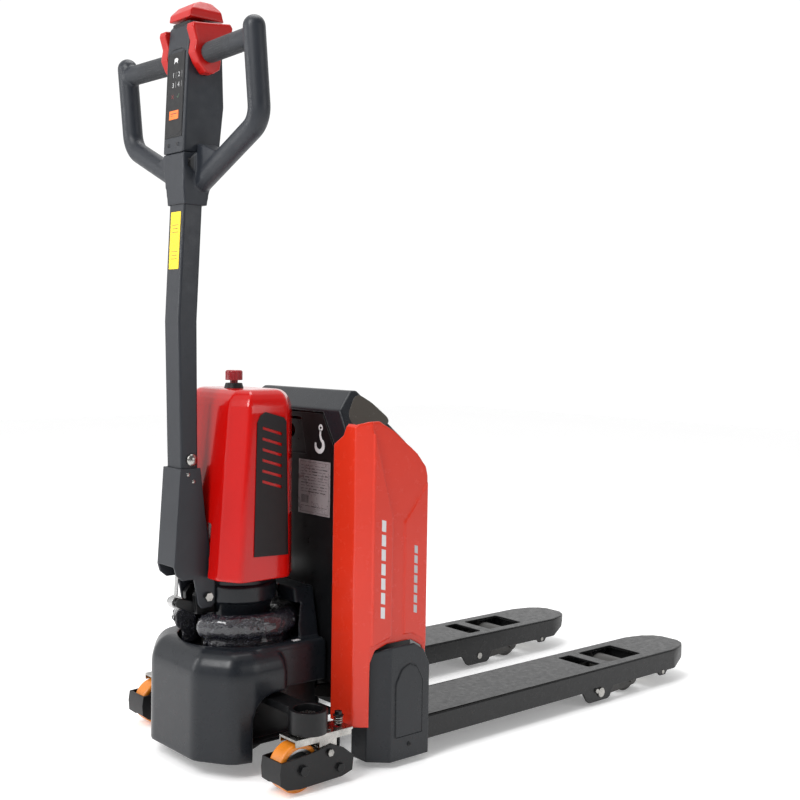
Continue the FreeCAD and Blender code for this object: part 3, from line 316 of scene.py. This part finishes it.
def make_materials():
    dark_edge = (0.16, 0.165, 0.17)
    return {
        "red": surface("red_gloss", (0.47, 0.003, 0.002), 0.14, 0.9, 500, 0.02, (0.6, 0.03, 0.02),
                       0.15, coat=0.35, specular=0.22, rough_spread=0.04, orange_peel=0.05,
                       edge_radius=0.003),
        "orange_red": surface("orange_red", (0.56, 0.026, 0.009), 0.24, 0.95, 600, 0.03,
                              (0.7, 0.06, 0.03), 0.1, coat=0.3, specular=0.25, rough_spread=0.05,
                              edge_radius=0.003, orange_peel=0.04),
        "thumb_red": surface("thumb_red", (0.42, 0.007, 0.005), 0.34, 0.88, 900, 0.08,
                             (0.7, 0.06, 0.04), 0.2, coat=0.1, specular=0.3, edge_radius=0.002),
        "stop_red": surface("stop_red", (0.3, 0.005, 0.01), 0.35, 0.8, 900, 0.08,
                            (0.6, 0.08, 0.08), 0.3, edge_radius=0.001),
        "grey": surface("grey_moulding", (0.0095, 0.0115, 0.015), 0.3, 0.88, 1400, 0.16,
                        (0.05, 0.053, 0.058), 0.25, rough_spread=0.04, specular=0.32,
                        edge_radius=0.003, bump_size=0.0002),
        "handle": surface("handle_moulding", (0.016, 0.019, 0.025), 0.44, 0.85, 1500, 0.2,
                          (0.05, 0.055, 0.06), 0.2, specular=0.36, edge_radius=0.002, bump_size=0.0002),
        "arm": surface("arm_paint", (0.02, 0.0225, 0.028), 0.36, 0.85, 1000, 0.12,
                       (0.12, 0.12, 0.13), 0.3, metallic=0.1, specular=0.36, edge_radius=0.0015),
        "black": surface("black_paint", (0.004, 0.0043, 0.005), 0.34, 0.8, 800, 0.1,
                         (0.08, 0.08, 0.08), 0.3, specular=0.28, rough_spread=0.06, orange_peel=0.12),
        "fork": surface("fork_paint", (0.006, 0.0063, 0.007), 0.32, 0.75, 650, 0.12,
                        (0.1, 0.095, 0.09), 0.35, specular=0.3, rough_spread=0.08, orange_peel=0.15,
                        blotch=9.0),
        "plastic": surface("black_plastic", (0.006, 0.006, 0.007), 0.45, 0.85, 1600, 0.22,
                           (0.05, 0.05, 0.05), 0.2, specular=0.3, bump_size=0.0003),
        # painted reflection: brownish, lighter pads standing for the surroundings reflected in the
        # lid's satin plastic
        "tray": surface("tray_plastic", (0.055, 0.048, 0.04), 0.22, 0.85, 1300, 0.12, dark_edge, 0.2),
        "zinc": surface("zinc_plate", (0.4, 0.39, 0.37), 0.26, 0.55, 420, 0.1, (0.75, 0.74, 0.7),
                        0.3, metallic=1.0, blotch=45.0, stretch=(1.0, 1.0, 0.25),
                        edge_radius=0.001),
        "steel": surface("turned_steel", (0.5, 0.5, 0.5), 0.28, 0.75, 900, 0.1, (0.7, 0.7, 0.7),
                         0.3, metallic=1.0, blotch=25.0, stretch=(1.0, 0.15, 1.0),
                         edge_radius=0.001),
        "dark_steel": surface("dark_steel", (0.06, 0.058, 0.056), 0.42, 0.6, 300, 0.2,
                              (0.3, 0.28, 0.26), 0.4, metallic=0.7, blotch=30.0),
        "cast": surface("cast_metal", (0.07, 0.07, 0.072), 0.6, 0.7, 260, 0.45, (0.2, 0.2, 0.2),
                        0.4, metallic=0.6, bump_size=0.0008),
        "wheel": surface("orange_tyre", (0.66, 0.2, 0.012), 0.34, 0.8, 700, 0.1,
                         (0.6, 0.3, 0.1), 0.5, blotch=22.0, rough_spread=0.1, edge_radius=0.002),
        "load": surface("load_tyre", (0.035, 0.033, 0.03), 0.42, 0.7, 500, 0.15,
                        (0.1, 0.1, 0.1), 0.4, blotch=20.0),
        "tyre": surface("drive_tyre", (0.02, 0.02, 0.02), 0.7, 0.7, 450, 0.4, (0.06, 0.06, 0.06),
                        0.5, blotch=20.0, bump_size=0.0008),
        "nylon": surface("nylon", (0.62, 0.6, 0.54), 0.45, 0.85, 800, 0.1, (0.5, 0.48, 0.4), 0.3),
        "aluminium": surface("aluminium", (0.48, 0.49, 0.5), 0.35, 0.7, 600, 0.12,
                             (0.7, 0.7, 0.7), 0.3, metallic=1.0, blotch=30.0),
        "plate": surface("data_plate", (0.36, 0.33, 0.34), 0.3, 0.9, 600, 0.05, (0.6, 0.6, 0.6),
                         0.2, metallic=0.35),
        "print": surface("print_dark", (0.03, 0.03, 0.033), 0.5, 0.85, 1200, 0.05),
        "pale": surface("print_pale", (0.62, 0.62, 0.63), 0.42, 0.92, 1200, 0.05),
        "silver": surface("print_silver", (0.42, 0.42, 0.43), 0.36, 0.85, 1200, 0.05, metallic=0.4),
        "yellow": surface("sticker_yellow", (0.86, 0.6, 0.01), 0.4, 0.93, 1200, 0.05),
        "orange": surface("sticker_orange", (0.9, 0.17, 0.01), 0.4, 0.93, 1200, 0.05),
        "green": surface("print_green", (0.12, 0.22, 0.13), 0.5, 0.9, 1200, 0.05),
        "crimson": surface("print_red", (0.25, 0.03, 0.03), 0.5, 0.9, 1200, 0.05),
        "film": film_surface("wrapping_film"),
        "grip": rubber_grip("grip_rubber"),
    }


FINISH = {
    "motor_cover": "red", "throttle": "thumb_red", "belly_button": "thumb_red",
    "estop_button": "stop_red", "side_panel_left": "orange_red", "side_panel_right": "orange_red",
    "skirt": "grey", "lid": "grey", "steer_collar": "grey", "corner_cover_left": "grey",
    "corner_cover_right": "grey", "head": "handle", "neck": "handle", "handle_left": "handle",
    "handle_right": "handle", "tiller_arm": "arm", "tiller_shroud": "arm", "tiller_base": "black",
    "lift_frame": "black", "chassis": "black", "front_cover": "black", "fork_left": "fork",
    "fork_right": "fork", "caster_rocker_left": "black", "caster_rocker_right": "black",
    "cover_trim": "plastic", "keypad": "plastic", "battery": "plastic", "controller": "aluminium",
    "caster_swivel_left": "zinc", "caster_swivel_right": "zinc", "tiller_bolts": "zinc",
    "fork_pins": "zinc", "caster_spring_left": "zinc", "caster_spring_right": "zinc",
    "lift_ram": "steel", "lift_cylinder": "dark_steel", "gas_spring_rod": "steel",
    "gas_spring_barrel": "dark_steel", "slew_bearing": "dark_steel", "push_rods": "dark_steel",
    "rocker": "dark_steel", "hydraulic_unit": "dark_steel", "roller_arm_left": "dark_steel",
    "roller_arm_right": "dark_steel", "gearbox": "cast", "drive_motor": "cast",
    "drive_hub": "cast", "caster_tyre_left": "wheel", "caster_tyre_right": "wheel",
    "caster_hub_left": "aluminium", "caster_hub_right": "aluminium", "load_roller_left": "load",
    "load_roller_right": "load", "drive_tyre": "tyre", "slide_blocks": "nylon",
    "entry_roller_left": "nylon", "entry_roller_right": "nylon", "harness": "film",
    "data_plate": "plate",
}


# ------------------------------------------------------------------ mesh helpers

def new_object(name, mesh, body, material):
    made = bpy.data.objects.new(name, mesh)
    bpy.context.scene.collection.objects.link(made)
    if material is not None:
        mesh.materials.clear()
        mesh.materials.append(material)
    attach(made, body)
    return made


def from_bmesh(name, bm, body, material, smooth=True, sharp_degrees=35.0):
    mesh = bpy.data.meshes.new(name)
    limit = math.radians(sharp_degrees)
    for face in bm.faces:
        face.smooth = smooth
    for edge in bm.edges:
        edge.smooth = not (len(edge.link_faces) == 2 and edge.calc_face_angle(0.0) > limit)
    bm.to_mesh(mesh)
    bm.free()
    return new_object(name, mesh, body, material)


def evaluated_mesh(obj):
    bpy.context.view_layer.update()
    graph = bpy.context.evaluated_depsgraph_get()
    return bpy.data.meshes.new_from_object(obj.evaluated_get(graph), depsgraph=graph)


def copy_of_nodes(names):
    """One clean mesh with the vertices of these CAD nodes merged where they meet."""
    bm = bmesh.new()
    for n in names:
        bm.from_mesh(NODES[n].data)
    bmesh.ops.remove_doubles(bm, verts=bm.verts, dist=1e-6)
    mesh = bpy.data.meshes.new("work")
    bm.to_mesh(mesh)
    bm.free()
    return mesh


def softened_mesh(names, voxel, rounds, factor=0.5):
    """The CAD shape remeshed evenly and relaxed, so that its edges and joins run round."""
    work = bpy.data.objects.new("work", copy_of_nodes(names))
    bpy.context.scene.collection.objects.link(work)
    remesh = work.modifiers.new("remesh", "REMESH")
    remesh.mode = "VOXEL"
    remesh.voxel_size = voxel
    relax = work.modifiers.new("relax", "SMOOTH")
    relax.iterations = rounds
    relax.factor = factor
    mesh = evaluated_mesh(work)
    bpy.data.objects.remove(work)
    return mesh


def smooth_faces(mesh):
    mesh.polygons.foreach_set("use_smooth", [True] * len(mesh.polygons))
    if "sharp_edge" in mesh.attributes:
        mesh.attributes.remove(mesh.attributes["sharp_edge"])
    mesh.update()


def soften(node, voxel, rounds, factor=0.5):
    mesh = softened_mesh([node], voxel, rounds, factor)
    smooth_faces(mesh)
    made = new_object(node + "_moulding", mesh, BODY_OF[node], MATERIALS[FINISH[node]])
    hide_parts(node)
    return made


def edge_rounding(node, width, segments=2, degrees=28.0):
    """Small real radii on a CAD node's sharp edges, by modifiers only."""
    obj = NODES[node]
    weld = obj.modifiers.new("weld", "WELD")
    weld.merge_threshold = 1e-6
    flat = obj.modifiers.new("flat", "DECIMATE")
    flat.decimate_type = "DISSOLVE"
    flat.angle_limit = math.radians(0.6)
    bevel = obj.modifiers.new("bevel", "BEVEL")
    bevel.width = width
    bevel.segments = segments
    bevel.limit_method = "ANGLE"
    bevel.angle_limit = math.radians(degrees)
    bevel.use_clamp_overlap = False
    bevel.miter_outer = "MITER_ARC"
    weighted = obj.modifiers.new("weighted", "WEIGHTED_NORMAL")
    weighted.keep_sharp = False
    weighted.weight = 80


def loft(name, rings, body, material, caps=(True, True), sharp_degrees=35.0):
    """Skin between closed rings with the same number of points."""
    bm = bmesh.new()
    rows = [[bm.verts.new(p) for p in ring] for ring in rings]
    count = len(rows[0])
    for low, high in zip(rows, rows[1:]):
        for i in range(count):
            j = (i + 1) % count
            bm.faces.new((low[i], low[j], high[j], high[i]))
    if caps[0]:
        bm.faces.new(list(reversed(rows[0])))
    if caps[1]:
        bm.faces.new(rows[-1])
    bmesh.ops.recalc_face_normals(bm, faces=bm.faces)
    return from_bmesh(name, bm, body, material, True, sharp_degrees)


def frame_axes(normal, up):
    out = Vector(normal).normalized()
    side = Vector(up).cross(out).normalized()
    return side, out.cross(side).normalized(), out


def decal(name, centre, normal, up, outlines, thickness, body, material, rim=0.0):
    """Thin raised shapes on a flat face: outlines are lists of (across, along) in millimetres."""
    side, rise, out = frame_axes(normal, up)
    bm = bmesh.new()
    for outline in outlines:
        low = [bm.verts.new(centre + side * (a * MM) + rise * (b * MM) + out * (rim * MM))
               for a, b in outline]
        high = [bm.verts.new(p.co + out * (thickness * MM)) for p in low]
        count = len(low)
        bm.faces.new(high)
        bm.faces.new(list(reversed(low)))
        for i in range(count):
            j = (i + 1) % count
            bm.faces.new((low[i], low[j], high[j], high[i]))
    bmesh.ops.recalc_face_normals(bm, faces=bm.faces)
    return from_bmesh(name, bm, body, material, False)


def rounded_box_outline(half_a, half_b, radius, steps=5, centre=(0.0, 0.0)):
    points = []
    for k, (sa, sb) in enumerate(((1, 1), (-1, 1), (-1, -1), (1, -1))):
        for i in range(steps + 1):
            a = math.pi / 2 * (k + i / steps)
            points.append((centre[0] + sa * (half_a - radius) + radius * math.cos(a),
                           centre[1] + sb * (half_b - radius) + radius * math.sin(a)))
    return points


def bar_outline(ax, ay, bx, by, half):
    length = math.hypot(bx - ax, by - ay)
    nx, ny = -(by - ay) / length * half, (bx - ax) / length * half
    return [(ax + nx, ay + ny), (ax - nx, ay - ny), (bx - nx, by - ny), (bx + nx, by + ny)]


def ring_band(outline, inner_scale_mm):
    """Quads of a closed line along an outline."""
    count = len(outline)
    mid_a = sum(p[0] for p in outline) / count
    mid_b = sum(p[1] for p in outline) / count
    inner = []
    for a, b in outline:
        d = math.hypot(a - mid_a, b - mid_b)
        k = (d - inner_scale_mm) / d
        inner.append((mid_a + (a - mid_a) * k, mid_b + (b - mid_b) * k))
    return [[outline[i], outline[(i + 1) % count], inner[(i + 1) % count], inner[i]]
            for i in range(count)]


# ------------------------------------------------------------------ finishes on the CAD nodes

MATERIALS = make_materials()


def dress_cad_nodes():
    for node, finish in FINISH.items():
        for holder in NODES[node].material_slots:
            holder.link = "OBJECT"
            holder.material = MATERIALS[finish]
    rounded = {
        "fork_left": 0.0012, "fork_right": 0.0012, "front_cover": 0.0008, "tiller_shroud": 0.0016,
        "chassis": 0.001, "lift_frame": 0.0006, "tiller_base": 0.001, "head": 0.001,
        "caster_swivel_left": 0.0006, "caster_swivel_right": 0.0006,
        "caster_rocker_left": 0.0006, "caster_rocker_right": 0.0006,
        "steer_collar": 0.001, "battery": 0.002, "controller": 0.0008,
        "corner_cover_left": 0.0022, "corner_cover_right": 0.0022,
    }
    for node, width in rounded.items():
        edge_rounding(node, width)


def mould_covers():
    soften("skirt", 0.0022, 18)
    soften("lid", 0.0022, 8)
    soften("motor_cover", 0.0019, 12)
    for side in LEFT_RIGHT:
        soften("side_panel_" + side, 0.0017, 4)
    soften("belly_button", 0.0012, 14)
    soften("throttle", 0.0012, 8)


def mould_handles():
    """Neck and both loops relaxed together, then parted again where the castings meet."""
    mesh = softened_mesh(["neck", "handle_left", "handle_right"], 0.0020, 14)
    for node, low, high in (("neck", -NECK_HALF, NECK_HALF),
                            ("handle_left", NECK_HALF, 1.0),
                            ("handle_right", -1.0, -NECK_HALF)):
        bm = bmesh.new()
        bm.from_mesh(mesh)
        for level, direction in ((low, -1.0), (high, 1.0)):
            if abs(level) > 0.5:
                continue
            everything = bm.verts[:] + bm.edges[:] + bm.faces[:]
            cut = bmesh.ops.bisect_plane(bm, geom=everything, plane_co=(0, level, 0),
                                         plane_no=(0, direction, 0), clear_outer=True)
            rim = [e for e in cut["geom_cut"] if isinstance(e, bmesh.types.BMEdge)]
            bmesh.ops.holes_fill(bm, edges=rim, sides=0)
        made = from_bmesh(node + "_moulding", bm, BODY_OF[node], MATERIALS[FINISH[node]],
                          True, 70.0)
        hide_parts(node)


# ------------------------------------------------------------------ details

def add_keypad_print():
    """Outline, dividers, four figures and small marks on the flat front of the head."""
    normal = Vector((-1.0, 0.0, HEAD_LEAN)).normalized()
    up = Vector((HEAD_LEAN, 0.0, 1.0)).normalized()

    def spot(across, height):
        x = -442.0 + (height - 1206.0) * HEAD_LEAN - 1.0
        return at(x, -across, height)

    centre = spot(0.0, 1324.0)
    outline = rounded_box_outline(29.5, 84.0, 16.0)
    decal("keypad_line", centre, normal, up, ring_band(outline, 0.9), 0.25, "tiller",
          MATERIALS["grey"], 0.0)
    marks = []
    for x in (-8.5, 12.5):
        for z in (33.0, 14.0):
            marks.append(bar_outline(x + 10.2, z - 6, x + 10.2, z + 6, 0.35))
    decal("keypad_dividers", centre, normal, up, marks, 0.2, "tiller", MATERIALS["silver"])
    figures = (("1", -8.0, 33.0), ("2", 12.0, 33.0), ("3", -8.0, 13.0), ("4", 12.0, 13.0))
    for digit, across, z in figures:
        add_figure(digit, centre, normal, up, across, z)
    blob = [(7.0 * math.cos(a) * (1.0 + 0.12 * math.cos(3 * a)), 4.0 * math.sin(a) + 62.0)
            for a in [i * math.pi / 10 for i in range(20)]]
    legs = [bar_outline(-5, 59, -6.5, 55.5, 1.1), bar_outline(4, 59, 5.5, 55.5, 1.1)]
    decal("keypad_symbol", centre, normal, up, [blob] + legs, 0.25, "tiller", MATERIALS["pale"])
    cross = [bar_outline(-12, -12, -5, -5, 0.5), bar_outline(-12, -5, -5, -12, 0.5)]
    decal("keypad_cancel", centre, normal, up, cross, 0.2, "tiller", MATERIALS["crimson"])
    tick = [bar_outline(8.5, -9, 11, -12, 0.5), bar_outline(11, -12, 16, -4.5, 0.5)]
    decal("keypad_accept", centre, normal, up, tick, 0.2, "tiller", MATERIALS["green"])
    sticker = [[(-17, -53), (16, -53), (16, -36), (-17, -36)]]
    decal("keypad_sticker", centre, normal, up, sticker, 0.3, "tiller", MATERIALS["orange"])
    lines = [bar_outline(-12, -42, 13, -42, 0.7), bar_outline(-12, -46, -2, -46, 0.5)]
    decal("keypad_sticker_lines", centre, normal, up, lines, 0.12, "tiller", MATERIALS["print"],
          rim=0.3)
    for across in (-17.0, 17.0):
        spot_low = spot(0.0, 1222.0)
        hole = [(across + 3.6 * math.cos(a), 3.6 * math.sin(a))
                for a in [i * math.pi / 8 for i in range(16)]]
        decal("head_screw_" + ("a" if across < 0 else "b"), spot_low, normal, up,
              ring_band(hole, 1.2), 0.6, "tiller", MATERIALS["print"], rim=0.95)


def add_figure(digit, centre, normal, up, across, z):
    side, rise, out = frame_axes(normal, up)
    text = bpy.data.curves.new("figure_" + digit, "FONT")
    text.body = digit
    text.size = 13.0 * MM
    text.extrude = 0.12 * MM
    text.align_x = "CENTER"
    text.align_y = "CENTER"
    holder = bpy.data.objects.new("work", text)
    turn = Matrix((side, rise, out)).transposed().to_4x4()
    holder.matrix_world = Matrix.Translation(centre + side * (across * MM) + rise * (z * MM)) @ turn
    bpy.context.scene.collection.objects.link(holder)
    mesh = evaluated_mesh(holder)
    mesh.transform(holder.matrix_world)
    bpy.data.objects.remove(holder)
    new_object("keypad_figure_" + digit, mesh, "tiller", MATERIALS["pale"])


def add_arm_sticker():
    """Plain two-part sticker on the front of the tiller arm."""
    middle = 1037.0
    x = -442.0 + (middle - 880.0) * 11.0 / 260.0
    normal = Vector((-1.0, 0.0, ARM_LEAN)).normalized()
    up = Vector((ARM_LEAN, 0.0, 1.0)).normalized()
    centre = at(x - 0.1, 0, middle)
    half_a, half_b = 18.0, 56.0
    decal("arm_sticker", centre, normal, up, [rounded_box_outline(half_a, half_b, 2.0)], 0.35,
          "tiller", MATERIALS["yellow"])
    border = [bar_outline(-11, 30, 11, 30, 0.5), bar_outline(-11, 16, 11, 16, 0.5),
              bar_outline(-9, 23, 9, 23, 0.5), bar_outline(-11, -22, 11, -22, 0.5),
              bar_outline(-11, -36, 11, -36, 0.5), bar_outline(-9, -29, 9, -29, 0.5)]
    decal("arm_sticker_lines", centre, normal, up, border, 0.12, "tiller", MATERIALS["print"],
          rim=0.35)


def add_hook_mark():
    """Lifting-hook pictogram on the column."""
    centre = at(-150.0, -104.0, 640.0)
    path = [(2.0, 22.0), (1.0, 12.0), (5.0, 2.0)]
    path += [(-1.0 + 13.0 * math.cos(math.radians(a)), -9.0 + 13.0 * math.sin(math.radians(a)))
             for a in range(40, -205, -15)]
    rows = []
    for i, (a, b) in enumerate(path):
        (a0, b0), (a1, b1) = path[max(i - 1, 0)], path[min(i + 1, len(path) - 1)]
        length = math.hypot(a1 - a0, b1 - b0)
        half = 2.6 + 2.2 * math.sin(math.pi * min(1.0, i / (len(path) - 1)))
        na, nb = -(b1 - b0) / length * half, (a1 - a0) / length * half
        rows.append(((a + na, b + nb), (a - na, b - nb)))
    outlines = [[p[0], p[1], q[1], q[0]] for p, q in zip(rows, rows[1:])]
    eye = [(2.5 + 7.0 * math.cos(k * math.pi / 8), 27.0 + 7.0 * math.sin(k * math.pi / 8))
           for k in range(16)]
    outlines += ring_band(eye, 4.2)
    decal("hook_mark", centre, (-1, 0, 0), (0, 0, 1), outlines, 0.3, "carriage",
          MATERIALS["pale"])


def add_plate_lines():
    """Generic printed rows on the data plate."""
    rng = random.Random(4)
    low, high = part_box("data_plate")
    centre = (low + high) / 2.0
    centre.x = low.x
    half_a = (high.y - low.y) / 2.0 / MM
    half_b = (high.z - low.z) / 2.0 / MM
    rows = []
    for i in range(15):
        z = half_b - 12.0 - i * 6.0
        if -36.0 < z < -14.0:
            continue
        start = -half_a + 8.0
        while start < half_a - 14.0:
            run = rng.uniform(6.0, 20.0)
            stop = min(start + run, half_a - 8.0)
            rows.append(bar_outline(start, z, stop, z, rng.choice((0.5, 0.5, 1.0))))
            start = stop + rng.uniform(2.0, 6.0)
    for i in range(9):
        a = -half_a + 10.0 + i * 2.8
        rows.append(bar_outline(a, -34.0, a, -17.0, rng.uniform(0.3, 0.9)))
    frame_line = ring_band([(-half_a + 4, -half_b + 4), (half_a - 4, -half_b + 4),
                            (half_a - 4, half_b - 4), (-half_a + 4, half_b - 4)], 0.8)
    decal("data_plate_print", centre, (-1, 0, 0), (0, 0, 1), rows + frame_line, 0.12, "carriage",
          MATERIALS["print"])


def add_panel_stripes():
    """Plain decorative stripes where a maker would put its name."""
    for side, sign in (("right", -1.0), ("left", 1.0)):
        low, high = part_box("side_panel_" + side)
        face = low.y if sign < 0 else high.y
        normal = (0.0, sign, 0.0)
        for name, x, z0, z1, half, key, proud in (
                ("pale", -120.5, 300.0, 500.0, 5.5, "pale", 0.0),
                ("silver", -33.0, 300.0, 440.0, 4.5, "silver", 0.5)):
            blocks = []
            count = 7
            for i in range(count):
                a0 = z0 + (z1 - z0) * i / count
                a1 = a0 + (z1 - z0) / count * 0.78
                blocks.append([(-half, a0 + 3), (half, a0), (half, a1), (-half, a1 + 3)])
            centre = at(x, 0, 0)
            centre.y = face - sign * proud * MM
            decal("panel_stripe_" + name + "_" + side, centre, normal, (0, 0, 1), blocks, 0.15,
                  "carriage", MATERIALS[key])


def add_wrapping():
    """Crinkled film over the cable bundle in the deck opening."""
    low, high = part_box("harness")
    mesh = softened_mesh(["harness"], 0.0028, 10)
    for vertex in mesh.vertices:
        p = vertex.co
        wave = noise.noise(p * 38.0) * 0.0032 + noise.noise(p * 95.0) * 0.0016
        out = vertex.normal
        vertex.co = p + out * (wave - FILM_DEPTH)
        vertex.co.x = min(max(vertex.co.x, low.x), high.x)
        vertex.co.y = min(max(vertex.co.y, low.y), high.y)
        vertex.co.z = min(max(vertex.co.z, low.z), high.z)
    smooth_faces(mesh)
    made = new_object("harness_wrap", mesh, BODY_OF["harness"], MATERIALS["film"])
    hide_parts("harness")


def add_lid_trays():
    """Glossy recessed pads on the two side slopes and the rear slope of the lid, in a lighter brown
    that is painted reflection of the surroundings.
    """
    # painted reflection: the brown pads are not the lid's own colour but the surroundings mirrored in
    # its slopes
    material = MATERIALS["tray"]
    for side, sign in SIDES:
        normal = Vector((0.0, sign * 110.0, 56.0)).normalized()
        up = Vector((0.0, -sign * 56.0, 110.0)).normalized()
        centre = at(0.0, sign * 178.0, 689.0)
        across = frame_axes(normal, up)[0].x
        outline = [(-132, 12), (-104, 48), (-88, 52), (-62, 34), (-30, -2), (-34, -14), (-60, -20),
                   (-118, -20), (-134, -8)]
        points = [(a * across, b) for a, b in rounded_corners(outline, 9.0)]
        decal("lid_reflection_pad_" + side, centre, normal, up, [points], 0.8, BODY_OF["lid"], material,
              rim=-0.2)
    normal = Vector((104.0, 0.0, 90.0)).normalized()
    up = Vector((-90.0, 0.0, 104.0)).normalized()
    pad = rounded_box_outline(132.0, 50.0, 16.0)
    decal("lid_reflection_pad_rear", at(-47.0, 0.0, 692.0), normal, up, [pad], 0.8, BODY_OF["lid"], material,
          rim=-0.2)


def rounded_corners(points, radius, steps=4):
    """The outline with each corner replaced by a short curve."""
    out = []
    count = len(points)
    for i in range(count):
        before, here, after = points[i - 1], points[i], points[(i + 1) % count]
        ends = []
        for other in (before, after):
            d = math.hypot(other[0] - here[0], other[1] - here[1])
            k = min(radius, d * 0.45) / d
            ends.append((here[0] + (other[0] - here[0]) * k, here[1] + (other[1] - here[1]) * k))
        for j in range(steps + 1):
            t = j / steps
            out.append(tuple((1 - t) ** 2 * ends[0][c] + 2 * t * (1 - t) * here[c] + t * t * ends[1][c]
                             for c in (0, 1)))
    return out


def add_deck_label():
    """Small blank label on the deck beside the raised housing."""
    centre = at(-222.0, -126.0, 244.3)
    decal("deck_label", centre, (0, 0, 1), (1, 0, 0), [[(-5, -9), (5, -9), (5, 9), (-5, 9)]], 0.3,
          "chassis", MATERIALS["pale"], rim=-0.5)


def add_grip_sleeves():
    """Textured rubber sleeves on the cross bars."""
    for side, sign in SIDES:
        start = at(GRIP_X, sign * 66.5, GRIP_Z)
        end = at(GRIP_X - 7.8, sign * 206.0, GRIP_Z)
        count = 56
        path = [start.lerp(end, i / count) for i in range(count + 1)]
        rings = []
        run = (end - start).normalized()
        across = run.cross(Vector((0.0, 0.0, 1.0))).normalized()
        rise = across.cross(run)
        for i, p in enumerate(path):
            taper = 1.0 - 0.05 * max(0.0, 1.0 - min(i, count - i) / 2.0)
            ridge = GRIP_RIDGE if i % 2 else 0.0
            radius = GRIP_RADIUS * taper + ridge
            rings.append([p + (across * math.cos(a) + rise * math.sin(a)) * radius
                          for a in [k * math.pi / 20 for k in range(40)]])
        loft("grip_sleeve_" + side, rings, "tiller", MATERIALS["grip"],
             sharp_degrees=60.0)


def add_cap_gasket():
    """Black rubber seat between the head and the red cap."""
    rings = []
    for z, grow in ((1446.0, 0.0), (1458.6, 0.0), (1459.6, -1.0)):
        outline = rounded_box_outline(36.0 + grow, 33.5 + grow, 9.0, 5)
        rings.append([at(-391.0 + a, b, z) for a, b in outline])
    loft("cap_gasket", rings, "tiller", MATERIALS["plastic"])


def add_small_screws():
    """Socket-head screws on the corner covers and on the caster channels."""
    for side, sign in SIDES:
        spot = at(-54.0, sign * 283.5, 42.0)
        ring = [(4.2 * math.cos(a), 4.2 * math.sin(a)) for a in [i * math.pi / 10 for i in range(20)]]
        decal("cover_screw_" + side, spot, (0, sign, 0), (0, 0, 1), ring_band(ring, 2.0), 0.5,
              "carriage", MATERIALS["plastic"], rim=-0.2)
        body = BODY_OF["caster_swivel_" + side]
        outline = [(-12, -4), (12, -4), (12, 4), (-12, 4)]
        decal("caster_mark_" + side, at(-222.0, sign * 250.0, 104.0), (0, 0, 1), (1, 0, 0),
              [outline], 0.25, body, MATERIALS["stop_red"])
        head = [(5.0 * math.cos(a), 5.0 * math.sin(a)) for a in [k * math.pi / 3 for k in range(6)]]
        decal("channel_screw_%s_0" % side, at(-246.0, sign * 264.0, 104.0), (0, 0, 1), (1, 0, 0),
              [head], 3.0, body, MATERIALS["zinc"], rim=-0.3)


def add_floor():
    mesh = bpy.data.meshes.new("floor")
    mesh.from_pydata([(-9, -9, 0), (9, -9, 0), (9, 9, 0), (-9, 9, 0)], [], [(0, 1, 2, 3)])
    floor = bpy.data.objects.new("floor", mesh)
    bpy.context.scene.collection.objects.link(floor)
    n = Nodes("floor_pale")
    n.link(n.mix(n.remap(n.noise(1.2), 0.3, 0.7, 0.0, 1.0), (0.96, 0.96, 0.96), (0.95, 0.95, 0.95)),
           n.shader.inputs["Base Color"])
    n.link(n.remap(n.noise(6.0), 0.3, 0.7, 0.7, 0.85), n.shader.inputs["Roughness"])
    n.shader.inputs["Specular IOR Level"].default_value = 0.2
    n.shader.inputs["Emission Color"].default_value = (1.0, 1.0, 1.0, 1.0)
    n.shader.inputs["Emission Strength"].default_value = 0.22
    mesh.materials.append(n.material)


place_camera()
light_scene()
add_floor()
dress_cad_nodes()
mould_covers()
mould_handles()
add_wrapping()
add_keypad_print()
add_arm_sticker()
add_hook_mark()
add_plate_lines()
add_panel_stripes()
add_lid_trays()
add_deck_label()
add_grip_sleeves()
add_cap_gasket()
add_small_screws()
